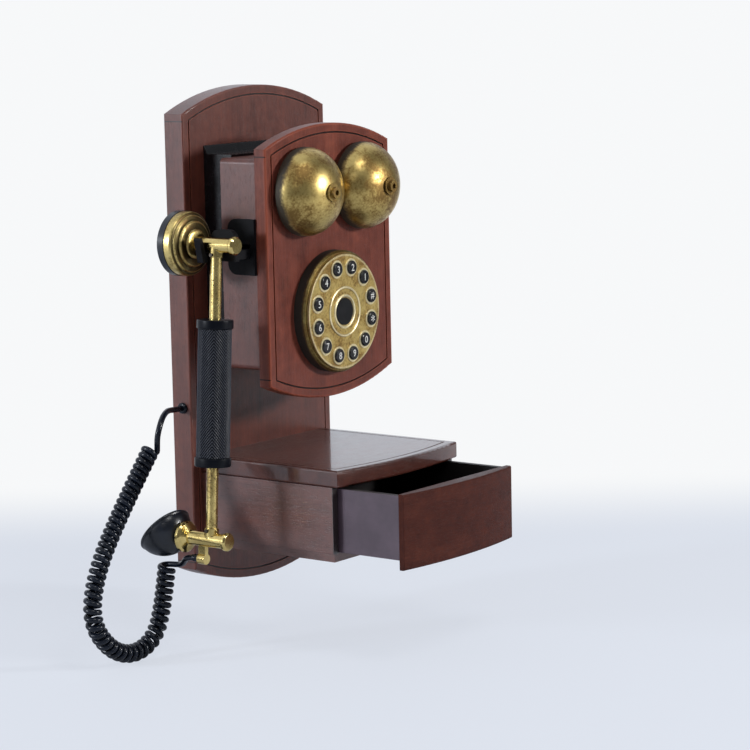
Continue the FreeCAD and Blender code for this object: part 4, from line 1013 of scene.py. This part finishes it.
makeGripBlack().cover(gripPiece, "grip")
satinBlack = makeBlack("satinBlack", (0.004, 0.004, 0.005), rough=0.45, grain=0.02, specular=0.1)
satinBlack.cover("hook_plate", "hook_lever", "box_back", "hook_switch", "line_jack", "ringer")
makeBlack("centreBlack", (0.005, 0.005, 0.006), rough=0.24, specular=0.2).cover("dial_centre")
glossBlack = makeBlack("glossBlack", (0.004, 0.006, 0.011), rough=0.22)
glossBlack.cover("ear_cap", "mouth_horn", hornPiece)
makeBlack("neckBlack", (0.004, 0.004, 0.005), rough=0.18).cover("neck")
cordBlack = makeBlack("cordBlack", (0.003, 0.005, 0.010), rough=0.18, specular=0.3)
cordBlack.cover(cordPiece, sleevePiece, "cord_grommet", "cord_lead", "curly_cord", "cord_tail")
makeBlack("matRubber", (0.012, 0.012, 0.012), rough=0.6, grain=0.03).cover("keypad_mat")
buttonBlack = makeBlack("buttonBlack", (0.006, 0.006, 0.007), rough=0.14)
print("black pieces made")


# Circuit boards

circuit = {
    "deep": (0.012, 0.075, 0.030, 1),
    "green": (0.020, 0.110, 0.045, 1),
    "track": (0.05, 0.20, 0.07, 1),
    "trackScale": 90,
    "trackWide": 0.03,
    "trackShare": 0.6,
    "cloud": 300,
    "cloudTone": (0.3, 0.7),
    "specular": 0.5,
    "rough": 0.35,
    "cloudRough": 0.15,
}


def makeCircuit():
    f = Finish("circuitGreen", {"Specular IOR Level": circuit["specular"]})
    grid = {"Vector": f.place, "Scale": circuit["trackScale"], "Mortar Size": circuit["trackWide"]}
    tracks = f.node("ShaderNodeTexBrick", {}, grid, "Fac")
    cloud = f.noise(circuit["cloud"])
    colour = f.mix(cloud.step(*circuit["cloudTone"]), circuit["deep"], circuit["green"])
    colour = f.mix(tracks * circuit["trackShare"], colour, circuit["track"])
    f.feed({"Base Color": colour, "Roughness": circuit["rough"] + cloud * circuit["cloudRough"]})
    return f


makeCircuit().cover("main_board", "keypad_board")


# Buttons and their digits

keys = {
    "labels": {"star": "*", "hash": "#"},
    "order": ["1", "2", "3", "4", "5", "6", "7", "8", "9", "0", "star", "hash"],
    "height": 4.7 * mm,
    "raise": 0.05 * mm,
    "white": (0.80, 0.80, 0.77, 1),
    "wornLitEdge": (0.62, 0.61, 0.57, 1),
    "wear": 700,
    "wearTone": (0.35, 0.75),
    "specular": 0.3,
    "rough": 0.4,
    "wearRough": 0.2,
    "curveSteps": 6,
}


def makeDigit(key, finish):
    # made one unit thick, then brought to the digit's own size on the button's face
    data = bpy.data.curves.new("digit", "FONT")
    data.body = keys["labels"].get(key, key)
    data.extrude = 1
    data.resolution_u = keys["curveSteps"]
    mesh = bpy.data.meshes.new_from_object(bpy.data.objects.new("digit", data))
    low = Vector([min(v.co[k] for v in mesh.vertices) for k in range(3)])
    high = Vector([max(v.co[k] for v in mesh.vertices) for k in range(3)])
    size = keys["height"] / max(high.y - low.y, high.x - low.x)
    buttonLow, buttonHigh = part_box("button_" + key)
    middle = (buttonLow + buttonHigh) / 2
    for v in mesh.vertices:
        across = (v.co.x - (low.x + high.x) / 2) * size
        up = (v.co.y - (low.y + high.y) / 2) * size
        out = keys["raise"] if v.co.z > 0 else -keys["raise"]
        v.co = (middle.x + across, buttonLow.y - out, middle.z + up)
    piece = addPiece("digit" + key.capitalize(), mesh, "button_" + key)
    finish.cover(piece)


def makeDigits():
    f = Finish("digitWhite", {"Specular IOR Level": keys["specular"]})
    wear = f.noise(keys["wear"], detail=4)
    colour = f.mix(wear.step(*keys["wearTone"]), keys["white"], keys["wornLitEdge"])
    f.feed({"Base Color": colour, "Roughness": keys["rough"] + wear * keys["wearRough"]})
    for key in keys["order"]:
        buttonBlack.cover("button_" + key)
        makeDigit(key, f)


makeDigits()
print("buttons made")


# Floor and light

stage = {
    "under": 1 * mm,
    "middle": (-0.05, -0.10),
    "radius": 1.4,
    "near": (0.77, 0.81, 0.89, 1),
    "ownLight": 0.75,
    "white": (0.93, 0.94, 0.95, 1),
    "back": (0.798, 0.603),
    "horizon": (0.25, 0.55),
    "rim": (0.75, 1.25),
    "backLight": 0.37,
    "frontLight": 0.015,
    "mirrorFront": 0.18,
    "tint": (0.88, 0.92, 1.0),
    "behind": (-0.25, 0.35),
    "behindRise": 0.3,
    "corners": 96,
    "cloud": 6,
    "cloudShare": 0.15,
    "specular": 0.2,
    "rough": 0.6,
    "cloudRough": 0.1,
}
lamps = {
    "left": {"place": (-1.97, 0.97, 0.50), "size": 0.35, "power": 26, "colour": (0.86, 0.92, 1)},
    "front": {"place": (0.80, -1.95, 0.55), "size": 0.26, "power": 29, "colour": (1, 1, 1)},
    "camera": {"place": (-1.50, -1.15, 0.95), "size": 0.25, "power": 1.2, "colour": (1, 1, 1)},
    "top": {"place": (-0.40, -1.10, 1.60), "size": 0.6, "power": 8, "colour": (1, 1, 1)},
}
lampAim = (-0.03, -0.06, 0)


def makeFloor():
    f = Finish("floorPale", {"Specular IOR Level": stage["specular"]})
    cloud = f.noise(stage["cloud"])
    x = f.axis("X")
    y = f.axis("Y")
    back = (x * stage["back"][0] + y * stage["back"][1]).step(*stage["horizon"])
    out = f.sum("SQRT", x * x + y * y).step(*stage["rim"])
    far = f.sum("MAXIMUM", back, out)
    colour = f.mix(far, stage["near"], stage["white"])
    clouded = f.mix(cloud * stage["cloudShare"], colour, stage["white"])
    f.feed({"Base Color": clouded, "Roughness": stage["rough"] + cloud * stage["cloudRough"]})
    seen = f.node("ShaderNodeLightPath", {}, {}, "Is Camera Ray")
    ownLight = stage["ownLight"] + far * (1 - stage["ownLight"])
    shown = f.sum("MAXIMUM", ownLight * seen, back * f.seen())
    glow = f.node("ShaderNodeEmission", {}, {"Color": colour})
    both = f.node("ShaderNodeMixShader", {}, {0: shown, 1: Wire(f, f.shader.outputs[0]), 2: glow})
    f.put(f.tree.nodes["Material Output"].inputs["Surface"], both)
    level = cadBox[0].z - stage["under"]
    count = stage["corners"]
    corners = []
    for k in range(count):
        angle = 2 * math.pi * k / count
        across = stage["middle"][0] + stage["radius"] * math.cos(angle)
        along = stage["middle"][1] + stage["radius"] * math.sin(angle)
        corners.append((across, along, level))
    mesh = bpy.data.meshes.new("floor")
    mesh.from_pydata(corners, [], [tuple(range(count))])
    floor = addPiece("floor", mesh, None)
    f.cover(floor)


def makeLamp(name, look):
    data = bpy.data.lights.new(name, "AREA")
    data.size = look["size"]
    data.energy = look["power"]
    data.color = look["colour"]
    lamp = bpy.data.objects.new(name, data)
    scene.collection.objects.link(lamp)
    aim = Vector(lampAim) - Vector(look["place"])
    turn = aim.to_track_quat("-Z", "Y").to_matrix().to_4x4()
    lamp.matrix_world = Matrix.Translation(look["place"]) @ turn


def makeWorld():
    # white backdrop behind the object, dim room in front of it
    world = bpy.data.worlds.new("studio")
    world.use_nodes = True
    sky = Nodes(world.node_tree, "Generated")
    behind = (sky.axis("Y") + sky.axis("Z") * stage["behindRise"]).step(*stage["behind"])
    light = stage["frontLight"] + behind * (stage["backLight"] - stage["frontLight"])
    mirror = stage["mirrorFront"] + behind * (1 - stage["mirrorFront"])
    camera = sky.node("ShaderNodeLightPath", {}, {}, "Is Camera Ray")
    shown = light + sky.seen() * (mirror - light)
    level = sky.sum("MAXIMUM", shown, camera)
    parts = {k: level * part for k, part in enumerate(stage["tint"])}
    shade = sky.node("ShaderNodeCombineXYZ", {}, parts)
    background = world.node_tree.nodes["Background"].inputs["Color"]
    sky.put(background, sky.mix(camera, shade, stage["white"]))
    scene.world = world


makeFloor()
makeWorld()
for lampName, lampLook in lamps.items():
    makeLamp(lampName, lampLook)
scene.view_settings.view_transform = "Standard"
print("stage made")
